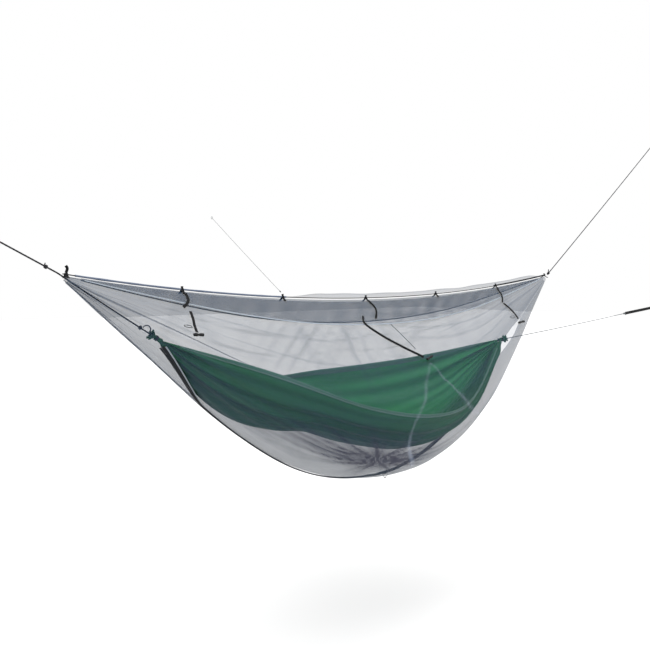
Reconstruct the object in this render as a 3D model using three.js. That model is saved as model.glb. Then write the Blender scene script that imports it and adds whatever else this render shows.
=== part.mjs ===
// Camping hammock hung inside a full-enclosure insect net.
// Millimetres, +Z up, +X along the ridge from the left tip to the right tip, +Y towards the far side.
// The origin is the centre of the eye at the left end of the suspension rope.
import * as THREE from 'three';

// ---------------------------------------------------------------- driving dimensions

const RIDGE_LENGTH = 3300; // net, tip to tip
const RIDGE_SAG = 130; // drop of the ridge cord at mid-length
const TAB_COUNT = 7; // ridge tabs, evenly spaced, the first and last at the tips
const NET_HALF_WIDTH = 450; // at the widest section
const SHOULDER_SHARE = 0.52; // share of a net section's depth at which it is widest
const BED_NEAR_HALF_WIDTH = 322;
const BED_FAR_HALF_WIDTH = 316;

const NET_THICKNESS = 1.6;
const BED_THICKNESS = 2.4;
const BAND_THICKNESS = 1;
const SEAM_GAP = 0.6; // each net panel stops this far from the middle plane
const LAYER_GAP = 1.2; // between two layers of cloth
const CONTACT_GAP = 0.3; // between two pieces that meet face to face
const PIVOT_GAP = 1.2; // between two rope ends that turn against each other
const TAB_DROP = 9; // from the ridge cord's centre down to the top edge of the net

const ROPE_RADIUS = 3.5; // suspension rope
const RIDGE_CORD_RADIUS = 2.5;
const RIGHT_ROPE_RADIUS = 2.5;
const GUY_RADIUS = 3;
const BACK_GUY_RADIUS = 1;
const TIE_WIDTH = 14;
const TIE_THICKNESS = 1.4;

// Points relative to the net's left tip.
const LEFT_EYE = new THREE.Vector3(-262, 0, 146);
const TIP_LEFT = new THREE.Vector3(0, 0, 0);
const TIP_RIGHT = new THREE.Vector3(RIDGE_LENGTH, 0, 0);
const BED_LEFT = new THREE.Vector3(444, 0, -302);
const BED_RIGHT = new THREE.Vector3(2795, 0, -425);
const STRAP_START = new THREE.Vector3(4323, 0, -299);
const STRAP_END = new THREE.Vector3(4780, 0, -261);
const GUY_END = new THREE.Vector3(4700, 0, 1067);
const BACK_GUY_END = new THREE.Vector3(1025, 584, 309);

const X_AXIS = new THREE.Vector3(1, 0, 0);
const Y_AXIS = new THREE.Vector3(0, 1, 0);
const Z_AXIS = new THREE.Vector3(0, 0, 1);

// ---------------------------------------------------------------- materials

const finish = (color, roughness) => new THREE.MeshStandardMaterial({ color, roughness });
const MESH_CLOTH = finish(0x8e939f, 0.85);
const BED_CLOTH = finish(0x1f6b4a, 0.6);
const BAND_CLOTH = finish(0x6f9484, 0.65);
const BLACK_ROPE = finish(0x15171a, 0.8);
const GREY_ROPE = finish(0x8b8f93, 0.8);
const WEBBING = finish(0x1b1d20, 0.75);
const BLACK_PLASTIC = finish(0x0c0d0f, 0.45);
const ZIP_TAPE = finish(0x14171d, 0.8);

// ---------------------------------------------------------------- shape helpers

// A smooth curve z(x) through hand-chosen [x, z] knots, as cubic Hermite pieces.
function profile(knots) {
  const slope = (i) => {
    const before = knots[Math.max(i - 1, 0)];
    const after = knots[Math.min(i + 1, knots.length - 1)];
    return (after[1] - before[1]) / (after[0] - before[0]);
  };
  return (x) => {
    let i = knots.findIndex(([at]) => at >= x) - 1;
    if (i < 0) i = x <= knots[0][0] ? 0 : knots.length - 2;
    const [x0, z0] = knots[i];
    const [x1, z1] = knots[i + 1];
    const run = x1 - x0;
    const s = (x - x0) / run;
    const blend = s * s * (3 - 2 * s);
    const leave = s * (1 - s) * (1 - s) * run * slope(i);
    const arrive = s * s * (s - 1) * run * slope(i + 1);
    return z0 + (z1 - z0) * blend + leave + arrive;
  };
}

// Unit normal of a surface(u, v), on the side that d/du x d/dv points to.
function normalOf(surface, u, v) {
  const step = 1e-3;
  const u0 = Math.max(u - step, 0);
  const u1 = Math.min(u + step, 1);
  const v0 = Math.max(v - step, 0);
  const v1 = Math.min(v + step, 1);
  const along = surface(u1, v).sub(surface(u0, v));
  const across = surface(u, v1).sub(surface(u, v0));
  return along.cross(across).normalize();
}

// A closed sheet between two offsets of surface(u, v), measured along its normal.
function sheetSolid(surface, uSteps, vSteps, inner, outer) {
  const positions = [];
  const index = [];
  const at = (layer, i, j) => (layer * (uSteps + 1) + i) * (vSteps + 1) + j;
  for (const offset of [inner, outer]) {
    for (let i = 0; i <= uSteps; i += 1) {
      for (let j = 0; j <= vSteps; j += 1) {
        const u = i / uSteps;
        const v = j / vSteps;
        const point = surface(u, v).addScaledVector(normalOf(surface, u, v), offset);
        positions.push(point.x, point.y, point.z);
      }
    }
  }
  const quad = (a, b, c, d) => index.push(a, b, c, a, c, d);
  for (let i = 0; i < uSteps; i += 1) {
    for (let j = 0; j < vSteps; j += 1) {
      quad(at(1, i, j), at(1, i + 1, j), at(1, i + 1, j + 1), at(1, i, j + 1));
      quad(at(0, i, j), at(0, i, j + 1), at(0, i + 1, j + 1), at(0, i + 1, j));
    }
    quad(at(0, i, 0), at(0, i + 1, 0), at(1, i + 1, 0), at(1, i, 0));
    quad(at(0, i + 1, vSteps), at(0, i, vSteps), at(1, i, vSteps), at(1, i + 1, vSteps));
  }
  for (let j = 0; j < vSteps; j += 1) {
    quad(at(0, 0, j + 1), at(0, 0, j), at(1, 0, j), at(1, 0, j + 1));
    quad(at(0, uSteps, j), at(0, uSteps, j + 1), at(1, uSteps, j + 1), at(1, uSteps, j));
  }
  const geometry = new THREE.BufferGeometry();
  geometry.setAttribute('position', new THREE.Float32BufferAttribute(positions, 3));
  geometry.setIndex(index);
  return geometry;
}

// A flat tape whose centre line is centre(u) and whose width runs along across(u).
function ribbon(centre, across, width, thickness, steps) {
  const surface = (u, v) => centre(u).addScaledVector(across(u), (v - 0.5) * width);
  return sheetSolid(surface, steps, 1, -thickness / 2, thickness / 2);
}

function circleShape(radius) {
  return new THREE.Shape().absarc(0, 0, radius, 0, 2 * Math.PI, false);
}

// A round cord along a curve, with closed ends.
function cord(path, radius, steps) {
  return new THREE.ExtrudeGeometry(circleShape(radius), { steps, curveSegments: 4, extrudePath: path });
}

function straight(from, to) {
  return new THREE.LineCurve3(from.clone(), to.clone());
}

// A turned piece: profile points are [radius, distance along the axis].
function turned(points, segments = 12) {
  return new THREE.LatheGeometry(points.map(([r, along]) => new THREE.Vector2(r, along)), segments);
}

// A barrel-shaped knot or wrapping that leaves CONTACT_GAP around the cord through it.
function knotRing(cordRadius, wall, length) {
  const bore = cordRadius + CONTACT_GAP;
  const waist = bore + wall * 0.55;
  const crown = bore + wall;
  return turned([[bore, 0], [bore, length], [waist, length], [crown, length * 0.72],
    [crown, length * 0.28], [waist, 0], [bore, 0]].reverse());
}

// A symmetric outline from its right half, whose points run from the bottom up.
function mirroredOutline(rightHalf) {
  const leftHalf = rightHalf.map(([y, z]) => [-y, z]).reverse();
  return new THREE.Shape([...rightHalf, ...leftHalf].map(([y, z]) => new THREE.Vector2(y, z)));
}

// A shape drawn in the Y-Z plane and extruded along +X, centred on x = 0.
function extrudedAlongX(shape, length) {
  const geometry = new THREE.ExtrudeGeometry(shape, { depth: length, bevelEnabled: false, curveSegments: 6 });
  geometry.translate(0, 0, -length / 2);
  return geometry.applyMatrix4(new THREE.Matrix4().makeBasis(Y_AXIS, Z_AXIS, X_AXIS));
}

const assembly = new THREE.Group();
const hung = new THREE.Group(); // everything is placed from the net's left tip
hung.position.copy(LEFT_EYE).negate();
assembly.add(hung);

function piece(name, geometry, material, position = TIP_LEFT) {
  const mesh = new THREE.Mesh(geometry, material);
  mesh.name = name;
  mesh.position.copy(position);
  hung.add(mesh);
  return mesh;
}

// Places a turned piece with its start at a point and its axis along a direction.
function pieceAlong(name, geometry, material, start, direction) {
  const mesh = piece(name, geometry, material, start);
  mesh.quaternion.setFromUnitVectors(Y_AXIS, direction.clone().normalize());
  return mesh;
}

const unit = (from, to) => to.clone().sub(from).normalize();
const pointAlong = (from, direction, distance) => from.clone().addScaledVector(direction, distance);

// ---------------------------------------------------------------- net shape

const ridgeZ = (x) => -4 * RIDGE_SAG * (x / RIDGE_LENGTH) * (1 - x / RIDGE_LENGTH);
const netTopZ = (x) => ridgeZ(x) - TAB_DROP;
const netBottomZ = profile([[0, -12], [400, -380], [800, -747], [1200, -1010], [1600, -1115],
  [2000, -1085], [2400, -890], [2700, -610], [3000, -300], [RIDGE_LENGTH, -12]]);
const netHalfWidth = (x) => NET_HALF_WIDTH * Math.sin(Math.PI * (x / RIDGE_LENGTH) ** 0.85);

// The two panels part along the bottom seam where the right rope leaves the net.
const SLOT_START = 2770;
const SLOT_END = 3010;
const SLOT_HALF_WIDTH = 30;
function slotHalfWidth(x) {
  if (x <= SLOT_START || x >= SLOT_END) return 0;
  return SLOT_HALF_WIDTH * Math.sin(Math.PI * (x - SLOT_START) / (SLOT_END - SLOT_START));
}

// One side of a net section: a tent side that hangs slightly inward, then a round belly.
function netSection(x, t, side) {
  const width = netHalfWidth(x);
  const top = netTopZ(x);
  const depth = netBottomZ(x) - top;
  const corner = (y, share) => new THREE.Vector3(x, y * width, top + share * depth);
  const shoulder = SHOULDER_SHARE;
  let point;
  if (t <= 0.5) {
    const hip = corner(0.45, shoulder / 2);
    const tent = new THREE.QuadraticBezierCurve3(corner(0, 0), hip, corner(1, shoulder));
    point = tent.getPoint(2 * t);
  } else {
    const bulge = corner(1.06, shoulder + 0.6 * (1 - shoulder));
    const belly = new THREE.CubicBezierCurve3(corner(1, shoulder), bulge, corner(0.6, 1), corner(0, 1));
    point = belly.getPoint(2 * t - 1);
    const slot = slotHalfWidth(x);
    point.y = slot + point.y * (1 - slot / width);
  }
  point.y = side * (point.y + SEAM_GAP);
  return point;
}

const NET_START = 30;
const NET_END = RIDGE_LENGTH - 30;
const netX = (u) => NET_START + (NET_END - NET_START) * u;
const nearNet = (u, v) => netSection(netX(1 - u), v, -1); // u runs so that both panels face outwards
const farNet = (u, v) => netSection(netX(u), v, 1);
const NET_COLUMNS = 28;
const NET_ROWS = 10;

piece('net_near_panel', sheetSolid(nearNet, NET_COLUMNS, NET_ROWS, 0, NET_THICKNESS), MESH_CLOTH);
piece('net_far_panel', sheetSolid(farNet, NET_COLUMNS, NET_ROWS, 0, NET_THICKNESS), MESH_CLOTH);

// Doubled cloth under the ridge, outside each panel.
const BAND_SHARE = 0.13; // of the section parameter, about 95 mm at mid-length
const BAND_INNER = NET_THICKNESS + LAYER_GAP;
const BAND_OUTER = BAND_INNER + BAND_THICKNESS;
const BAND_COLUMNS = 24;
function ridgeBand(panel) {
  const surface = (u, v) => panel(0.02 + 0.96 * u, 0.012 + (BAND_SHARE - 0.012) * v);
  return sheetSolid(surface, BAND_COLUMNS, 2, BAND_INNER, BAND_OUTER);
}
piece('ridge_band_near', ridgeBand(nearNet), MESH_CLOTH);
piece('ridge_band_far', ridgeBand(farNet), MESH_CLOTH);

// ---------------------------------------------------------------- ridge cord and tabs

const RIDGE_CORD_STEPS = 30;
const RIDGE_CORD_INSET = 20;
class RidgeCurve extends THREE.Curve {
  getPoint(t, target = new THREE.Vector3()) {
    const x = RIDGE_CORD_INSET + (RIDGE_LENGTH - 2 * RIDGE_CORD_INSET) * t;
    return target.set(x, 0, ridgeZ(x));
  }
}
piece('ridge_cord', cord(new RidgeCurve(), RIDGE_CORD_RADIUS, RIDGE_CORD_STEPS), BLACK_ROPE);

// A tab is a loop of webbing round the cord, with an ear above and two legs down the net's sides.
const TAB_LENGTH = 14;
const TAB_BORE = 4.4;
const TAB_OUTER = 6;
const TAB_LEG = 26;
const EAR_HALF_THICKNESS = 1.2;
const LEG_SLOPE = THREE.MathUtils.degToRad(50); // of a leg, from the vertical
const END_LEG_SLOPE = THREE.MathUtils.degToRad(64); // the net's sides are flatter at the tips
function tabShape(earHeight, slope) {
  const outward = new THREE.Vector2(Math.sin(slope), -Math.cos(slope));
  const knee = new THREE.Vector2(TAB_OUTER, -TAB_BORE);
  const hip = new THREE.Vector2(TAB_BORE - 0.8, -TAB_BORE);
  const toe = knee.clone().addScaledVector(outward, TAB_LEG);
  const heel = hip.clone().addScaledVector(outward, TAB_LEG);
  return mirroredOutline([[hip.x, TAB_BORE], [hip.x, hip.y], [heel.x, heel.y], [toe.x, toe.y],
    [knee.x, knee.y], [TAB_OUTER, TAB_BORE], [EAR_HALF_THICKNESS, TAB_OUTER], [EAR_HALF_THICKNESS, earHeight]]);
}

const TAB_INSET = 34; // the end tabs sit this far in from the tips
const TALL_EAR = 38;
const SHORT_EAR = 14;
function tabX(i) {
  const x = RIDGE_LENGTH * i / (TAB_COUNT - 1);
  return Math.min(Math.max(x, TAB_INSET), RIDGE_LENGTH - TAB_INSET);
}
for (let i = 0; i < TAB_COUNT; i += 1) {
  const ear = i === 0 ? TALL_EAR : SHORT_EAR;
  const slope = i === 0 || i === TAB_COUNT - 1 ? END_LEG_SLOPE : LEG_SLOPE;
  piece(`ridge_tab_${i + 1}`, extrudedAlongX(tabShape(ear, slope), TAB_LENGTH), WEBBING,
    new THREE.Vector3(tabX(i), 0, ridgeZ(tabX(i))));
}

// ---------------------------------------------------------------- roll-up ties and toggles

// Outward direction of the near panel, and a point outside it, at length x and section parameter t.
const nearU = (x) => (NET_END - x) / (NET_END - NET_START);
const netNormal = (x, t) => normalOf(nearNet, nearU(x), t);
function outsideNet(x, t, distance) {
  return nearNet(nearU(x), t).addScaledVector(netNormal(x, t), NET_THICKNESS + distance);
}

// Lays a piece on the near panel: its local Z faces outwards, its local X follows a direction.
function pieceOnNet(name, geometry, material, [x, t, height], direction) {
  const mesh = piece(name, geometry, material, outsideNet(x, t, height));
  const facing = netNormal(x, t);
  const along = direction.clone().addScaledVector(facing, -direction.dot(facing)).normalize();
  const basis = new THREE.Matrix4().makeBasis(along, facing.clone().cross(along), facing);
  mesh.quaternion.setFromRotationMatrix(basis);
  return mesh;
}

// A tie follows [x, section parameter, height above the net] points, with its width along the ridge.
function tieCurve(points) {
  const places = points.map(([x, t, height]) => outsideNet(x, t, height));
  return new THREE.CatmullRomCurve3(places);
}
function tieRibbon(points, steps = 10) {
  const curve = tieCurve(points);
  const across = (u) => {
    const tangent = curve.getTangent(u);
    const facing = new THREE.Vector3(0, -1, 0.35).normalize();
    return facing.cross(tangent).normalize();
  };
  return ribbon((u) => curve.getPoint(u), across, TIE_WIDTH, TIE_THICKNESS, steps);
}

const TIE_HEIGHT = 8; // ties stand this far off the net
const UPPER_TIES = [
  [[552, 0.075, 8], [548, 0.11, 9], [528, 0.15, 9], [505, 0.19, 8]],
  [[1660, 0.045, 8], [1674, 0.06, 10], [1664, 0.08, 9], [1640, 0.105, 8]],
  [[2742, 0.1, 8], [2750, 0.125, 10], [2738, 0.16, 9], [2722, 0.185, 8]],
];
UPPER_TIES.forEach((points, i) => piece(`upper_tie_${i + 1}`, tieRibbon(points), WEBBING));

const LOWER_TIES = [
  [[530, 0.215, TIE_HEIGHT], [522, 0.29, TIE_HEIGHT], [508, 0.37, TIE_HEIGHT], [500, 0.44, TIE_HEIGHT]],
  [[1560, 0.09, TIE_HEIGHT], [1548, 0.13, TIE_HEIGHT], [1630, 0.195, TIE_HEIGHT], [1735, 0.255, TIE_HEIGHT],
    [1838, 0.31, TIE_HEIGHT]],
  [[2728, 0.2, TIE_HEIGHT], [2752, 0.27, TIE_HEIGHT], [2768, 0.35, TIE_HEIGHT], [2772, 0.43, TIE_HEIGHT]],
];
LOWER_TIES.forEach((points, i) => piece(`lower_tie_${i + 1}`, tieRibbon(points, 12), WEBBING));

// The toggle is a waisted bar held at its middle, just past the end of its tie.
const TOGGLE_LENGTH = 54;
const TOGGLE_RADIUS = 7;
const TOGGLE_HEIGHT = 11; // of its axis above the net
const TOGGLE_WAIST = 5; // radius at the middle and the ends
const TOGGLE_GROOVE = 4; // half-length of the waist in the middle
function toggleGeometry() {
  const half = TOGGLE_LENGTH / 2;
  const shoulder = TOGGLE_GROOVE + 3;
  const outline = [[0, -half], [TOGGLE_WAIST, -half], [TOGGLE_RADIUS, 2 - half], [TOGGLE_RADIUS, -shoulder],
    [TOGGLE_WAIST, -TOGGLE_GROOVE], [TOGGLE_WAIST, TOGGLE_GROOVE], [TOGGLE_RADIUS, shoulder],
    [TOGGLE_RADIUS, half - 2], [TOGGLE_WAIST, half], [0, half]];
  return turned(outline, 10).rotateZ(-Math.PI / 2);
}
const TOGGLES = [
  { place: [498, 0.47, TOGGLE_HEIGHT], lean: 0.25 },
  { place: [1877, 0.32, TOGGLE_HEIGHT], lean: 0.45 },
  { place: [2776, 0.48, TOGGLE_HEIGHT], lean: 0.1 },
];
TOGGLES.forEach(({ place, lean }, i) => {
  pieceOnNet(`toggle_${i + 1}`, toggleGeometry(), BLACK_PLASTIC, place, new THREE.Vector3(1, 0, lean));
});

// A small loop of cord sewn beside the end of a free tie.
const TIE_LOOP_LENGTH = 40;
const TIE_LOOP_HEIGHT = 16;
const TIE_LOOP_RADIUS = 1.5;
class OvalCurve extends THREE.Curve {
  constructor(length, height) {
    super();
    this.length = length;
    this.height = height;
  }

  getPoint(t, target = new THREE.Vector3()) {
    const angle = 0.3 + (2 * Math.PI - 0.6) * t;
    return target.set(this.length / 2 * (1 - Math.cos(angle)), this.height / 2 * Math.sin(angle), 0);
  }
}
const TIE_LOOPS = { 1: [492, 0.395, TIE_HEIGHT], 3: [2756, 0.385, TIE_HEIGHT] };
Object.entries(TIE_LOOPS).forEach(([number, place]) => {
  const loop = cord(new OvalCurve(TIE_LOOP_LENGTH, TIE_LOOP_HEIGHT), TIE_LOOP_RADIUS, 14);
  pieceOnNet(`tie_loop_${number}`, loop, BLACK_ROPE, place, X_AXIS.clone().negate());
});

// The inner partner of the middle tie runs inside the near panel.
const INNER_TIE_RADIUS = 1.5;
const INNER_TIE_DEPTH = -9;
const innerTie = tieCurve([[1745, 0.125, INNER_TIE_DEPTH], [1790, 0.19, INNER_TIE_DEPTH],
  [1832, 0.26, INNER_TIE_DEPTH]]);
piece('inner_tie_2', cord(innerTie, INNER_TIE_RADIUS, 8), BLACK_ROPE);

// ---------------------------------------------------------------- entry zip

const ZIP_LEFT = 372;
const ZIP_RIGHT = 2690;
const ZIP_SEAM_START = 640; // left of here the zip climbs the near panel
const ZIP_CLIMB = 0.27; // section parameter gained between the seam and ZIP_LEFT
const ZIP_CLEARANCE = 4.2;
const ZIP_STEPS = 40;
const ZIP_TAPE_WIDTH = 11;
const ZIP_CHAIN_WIDTH = 6;
const ZIP_CHAIN_THICKNESS = 2.4;
const SLIDER_X = 1800;
const STRAIGHT_HALF = 50; // the zip is straight this far either side of the slider's middle position
const STRAIGHT_EASE = 70;

const zipX = (u) => ZIP_LEFT + (ZIP_RIGHT - ZIP_LEFT) * u;
function zipT(x) {
  const climb = Math.max(ZIP_SEAM_START - x, 0) / (ZIP_SEAM_START - ZIP_LEFT);
  return 1 - ZIP_CLIMB * climb ** 1.3;
}
const seamZ = (x) => outsideNet(x, 1, ZIP_CLEARANCE).z;
const STRAIGHT_RISE = seamZ(SLIDER_X + STRAIGHT_HALF) - seamZ(SLIDER_X - STRAIGHT_HALF);
const STRAIGHT_SLOPE = STRAIGHT_RISE / (2 * STRAIGHT_HALF);
const STRAIGHT_Z = seamZ(SLIDER_X) - 0.8;
function zipCentre(u) {
  const x = zipX(u);
  const point = outsideNet(x, zipT(x), ZIP_CLEARANCE);
  const past = Math.max(Math.abs(x - SLIDER_X) - STRAIGHT_HALF, 0);
  const curved = THREE.MathUtils.smoothstep(past, 0, STRAIGHT_EASE);
  const lineZ = STRAIGHT_Z + STRAIGHT_SLOPE * (x - SLIDER_X);
  const onSeam = THREE.MathUtils.smoothstep(x, ZIP_SEAM_START, ZIP_SEAM_START + 60);
  return new THREE.Vector3(x, point.y * (1 - onSeam), lineZ + (point.z - lineZ) * curved);
}
function zipTangent(u) {
  const step = 0.004;
  return zipCentre(Math.min(u + step, 1)).sub(zipCentre(Math.max(u - step, 0))).normalize();
}
// Outward from the net: level across under the seam, then turning with the near panel.
function zipOutward(u) {
  const x = zipX(u);
  const facing = netNormal(x, zipT(x));
  const onSeam = THREE.MathUtils.smoothstep(x, ZIP_SEAM_START, ZIP_SEAM_START + 60);
  facing.y *= 1 - onSeam;
  const tangent = zipTangent(u);
  return facing.addScaledVector(tangent, -facing.dot(tangent)).normalize();
}
const zipAcross = (u) => zipOutward(u).cross(zipTangent(u)).normalize();
function zipStrip(side, width, thickness, outward, inset) {
  const middle = (u) => zipCentre(u).addScaledVector(zipAcross(u), side * (inset + width / 2))
    .addScaledVector(zipOutward(u), outward);
  return ribbon(middle, zipAcross, width, thickness, ZIP_STEPS);
}
piece('zip_tape_near', zipStrip(1, ZIP_TAPE_WIDTH, BAND_THICKNESS, 0, 0.5), ZIP_TAPE);
piece('zip_tape_far', zipStrip(-1, ZIP_TAPE_WIDTH, BAND_THICKNESS, 0, 0.5), ZIP_TAPE);
const CHAIN_OUT = BAND_THICKNESS / 2 + LAYER_GAP + ZIP_CHAIN_THICKNESS / 2;
piece('zip_chain', zipStrip(0, ZIP_CHAIN_WIDTH, ZIP_CHAIN_THICKNESS, CHAIN_OUT, 0), ZIP_TAPE);

// The slider is a channel under the chain with a ring below it for the pull cord.
const SLIDER_LENGTH = 16;
const SLIDER_TILT = Math.atan(STRAIGHT_SLOPE);
const SLIDER_CENTRE = new THREE.Vector3(SLIDER_X + CHAIN_OUT * Math.sin(SLIDER_TILT), 0,
  STRAIGHT_Z - CHAIN_OUT * Math.cos(SLIDER_TILT));
const PULL_HOLE_Z = -7.4;
const PULL_HOLE_RADIUS = 2.6;
function sliderShape() {
  const innerY = ZIP_CHAIN_WIDTH / 2 + 0.6;
  const outerY = innerY + 1.4;
  const innerZ = -ZIP_CHAIN_THICKNESS / 2 - 0.6;
  const lipZ = ZIP_CHAIN_THICKNESS / 2 - 0.2;
  const ringY = 4.2;
  const ringZ = PULL_HOLE_Z - 4;
  const shape = mirroredOutline([[2, ringZ], [ringY, PULL_HOLE_Z - 1], [ringY, innerZ - 1.2],
    [outerY, innerZ - 1.2], [outerY, lipZ], [innerY, lipZ], [innerY, innerZ]]);
  shape.holes.push(new THREE.Path().absarc(0, PULL_HOLE_Z, PULL_HOLE_RADIUS, 0, 2 * Math.PI, true));
  return shape;
}
const sliderBody = extrudedAlongX(sliderShape(), SLIDER_LENGTH);
const slider = piece('zip_slider', sliderBody, BLACK_PLASTIC, SLIDER_CENTRE);
slider.rotation.y = -SLIDER_TILT;

// The pull cord is a closed loop through the slider's ring.
const PULL_RADIUS = 1.4;
const PULL_OUTLINE = [[-13, 0], [0, 0], [13, 0], [17, -9], [11, -22], [0, -28], [-11, -22], [-17, -9]];
const pullLoop = new THREE.CatmullRomCurve3(PULL_OUTLINE.map(([x, z]) => new THREE.Vector3(x, 0, z)), true);
class OpenLoop extends THREE.Curve {
  getPoint(t, target = new THREE.Vector3()) {
    // the two ends of the cord meet in its knot at the bottom of the loop
    return target.copy(pullLoop.getPoint((0.6 + 0.985 * t) % 1));
  }
}
const PULL_CENTRE = new THREE.Vector3(SLIDER_CENTRE.x - PULL_HOLE_Z * Math.sin(SLIDER_TILT), 0,
  SLIDER_CENTRE.z + PULL_HOLE_Z * Math.cos(SLIDER_TILT));
const pullCord = piece('zip_pull_cord', cord(new OpenLoop(), PULL_RADIUS, 26), BLACK_ROPE, PULL_CENTRE);
pullCord.rotation.y = -SLIDER_TILT;

// ---------------------------------------------------------------- bed

const bedBottomZ = profile([[444, -318], [650, -575], [900, -738], [1200, -806], [1500, -912], [1800, -980],
  [2100, -948], [2400, -820], [2600, -640], [2795, -441]]);
const bedNearZ = profile([[444, -300], [900, -454], [1400, -656], [1900, -755], [2300, -725], [2795, -423]]);
const bedFarZ = profile([[444, -300], [1000, -535], [1600, -555], [2200, -521], [2795, -423]]);
const GATHER_RADIUS = 11; // half-width of the bunched cloth at either end

// A bed section runs from the near edge under the belly to the far edge.
function bedPoint(u, v) {
  const x = BED_RIGHT.x + (BED_LEFT.x - BED_RIGHT.x) * u;
  const side = v < 0.5 ? -1 : 1;
  const swell = Math.sin(Math.PI * u);
  const width = side * (GATHER_RADIUS + swell * (side < 0 ? BED_NEAR_HALF_WIDTH : BED_FAR_HALF_WIDTH));
  const edge = side < 0 ? bedNearZ(x) : bedFarZ(x);
  const bottom = bedBottomZ(x);
  const corner = (y, z) => new THREE.Vector3(x, y * width, z);
  const half = new THREE.CubicBezierCurve3(corner(1, edge), corner(1.05, edge + 0.6 * (bottom - edge)),
    corner(0.6, bottom), corner(0, bottom));
  return half.getPoint(1 - Math.abs(2 * v - 1));
}
const BED_COLUMNS = 26;
const BED_ROWS = 12;
piece('hammock_bed', sheetSolid(bedPoint, BED_COLUMNS, BED_ROWS, 0, BED_THICKNESS), BED_CLOTH);

// Doubled hems along the two long edges, on the outside of the bed.
const HEM_SHARE = 0.022; // of the section parameter, about 25 mm at mid-length
const HEM_INSET = 0.03; // the hems stop short of the gathered ends
function bedHem(fromV, toV) {
  const surface = (u, v) => bedPoint(HEM_INSET + (1 - 2 * HEM_INSET) * u, fromV + (toV - fromV) * v);
  const inner = BED_THICKNESS + LAYER_GAP;
  return sheetSolid(surface, BED_COLUMNS - 2, 1, inner, inner + BAND_THICKNESS);
}
piece('near_edge_hem', bedHem(0, HEM_SHARE), BAND_CLOTH);
piece('far_edge_hem', bedHem(1 - HEM_SHARE, 1), BAND_CLOTH);

// ---------------------------------------------------------------- gathered ends

// Bunched cloth: a neck that the whipping grips and a hollow ruffle beyond it.
const NECK_START = 4; // clear of the bed's last section
const NECK_RADIUS = 9;
const WHIPPING_START = 18;
const WHIPPING_LENGTH = 16;
const RUFFLE_START = 40;
const RUFFLE_END = 62;
const RUFFLE_RADIUS = 24;
function gatherGeometry() {
  const wall = 2.4;
  return turned([[0, NECK_START], [GATHER_RADIUS, NECK_START], [NECK_RADIUS, WHIPPING_START - 3],
    [NECK_RADIUS, RUFFLE_START - 2], [RUFFLE_RADIUS, RUFFLE_END], [RUFFLE_RADIUS - wall, RUFFLE_END],
    [NECK_RADIUS - wall, RUFFLE_START + 2], [0, RUFFLE_START + 2]]);
}

function gatheredEnd(side, from, towards) {
  const direction = unit(from, towards);
  const at = (distance) => pointAlong(from, direction, distance);
  pieceAlong(`${side}_gather`, gatherGeometry(), BED_CLOTH, from, direction);
  pieceAlong(`${side}_whipping`, knotRing(NECK_RADIUS, 4, WHIPPING_LENGTH), BLACK_ROPE, at(WHIPPING_START),
    direction);
  return at(RUFFLE_START + 2 + CONTACT_GAP);
}

const leftRopeStart = gatheredEnd('left', BED_LEFT, TIP_LEFT);
const leftDirection = unit(BED_LEFT, TIP_LEFT);
const leftRopeEnd = pointAlong(TIP_LEFT, leftDirection, -PIVOT_GAP);
piece('left_inner_rope', cord(straight(leftRopeStart, leftRopeEnd), ROPE_RADIUS, 12), BLACK_ROPE);
const LEFT_KNOT_AT = 66; // from the rope's start
const knotPlace = pointAlong(leftRopeStart, leftDirection, LEFT_KNOT_AT);
pieceAlong('left_end_knot', knotRing(ROPE_RADIUS, 5, 16), BLACK_ROPE, knotPlace, leftDirection);

// The bight of the left knot arches over the rope, from the knot back towards the gathered cloth.
const BIGHT_SPAN = 38;
const BIGHT_RISE = 20;
const BIGHT_RADIUS = 2.5;
class Bight extends THREE.Curve {
  getPoint(t, target = new THREE.Vector3()) {
    const angle = Math.PI * t;
    return target.set(BIGHT_SPAN / 2 * (1 - Math.cos(angle)), 0, BIGHT_RISE * Math.sin(angle));
  }
}
const bight = piece('left_end_bight', cord(new Bight(), BIGHT_RADIUS, 12), BLACK_ROPE,
  pointAlong(knotPlace, leftDirection, -BIGHT_RADIUS - 1));
bight.position.addScaledVector(Y_AXIS.clone().cross(leftDirection), ROPE_RADIUS + BIGHT_RADIUS + CONTACT_GAP);
bight.rotation.y = Math.atan2(leftDirection.z, -leftDirection.x);

const rightRopeStart = gatheredEnd('right', BED_RIGHT, STRAP_END);
piece('right_rope', cord(straight(rightRopeStart, STRAP_START), RIGHT_ROPE_RADIUS, 16), GREY_ROPE);

// ---------------------------------------------------------------- tree strap on the right

const STRAP_WIDTH = 22;
const STRAP_THICKNESS = 2;
const strapDirection = unit(STRAP_START, STRAP_END);
const strapAcross = strapDirection.clone().cross(Y_AXIS).normalize();
const strapFrom = pointAlong(STRAP_START, strapDirection, CONTACT_GAP + 1);
const strapCentre = (u) => strapFrom.clone().lerp(STRAP_END, u);
piece('tree_strap', ribbon(strapCentre, () => strapAcross.clone(), STRAP_WIDTH, STRAP_THICKNESS, 8), WEBBING);
pieceAlong('rope_to_strap_knot', knotRing(RIGHT_ROPE_RADIUS, 5, 18), GREY_ROPE,
  pointAlong(STRAP_START, strapDirection, -20), strapDirection);

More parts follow.
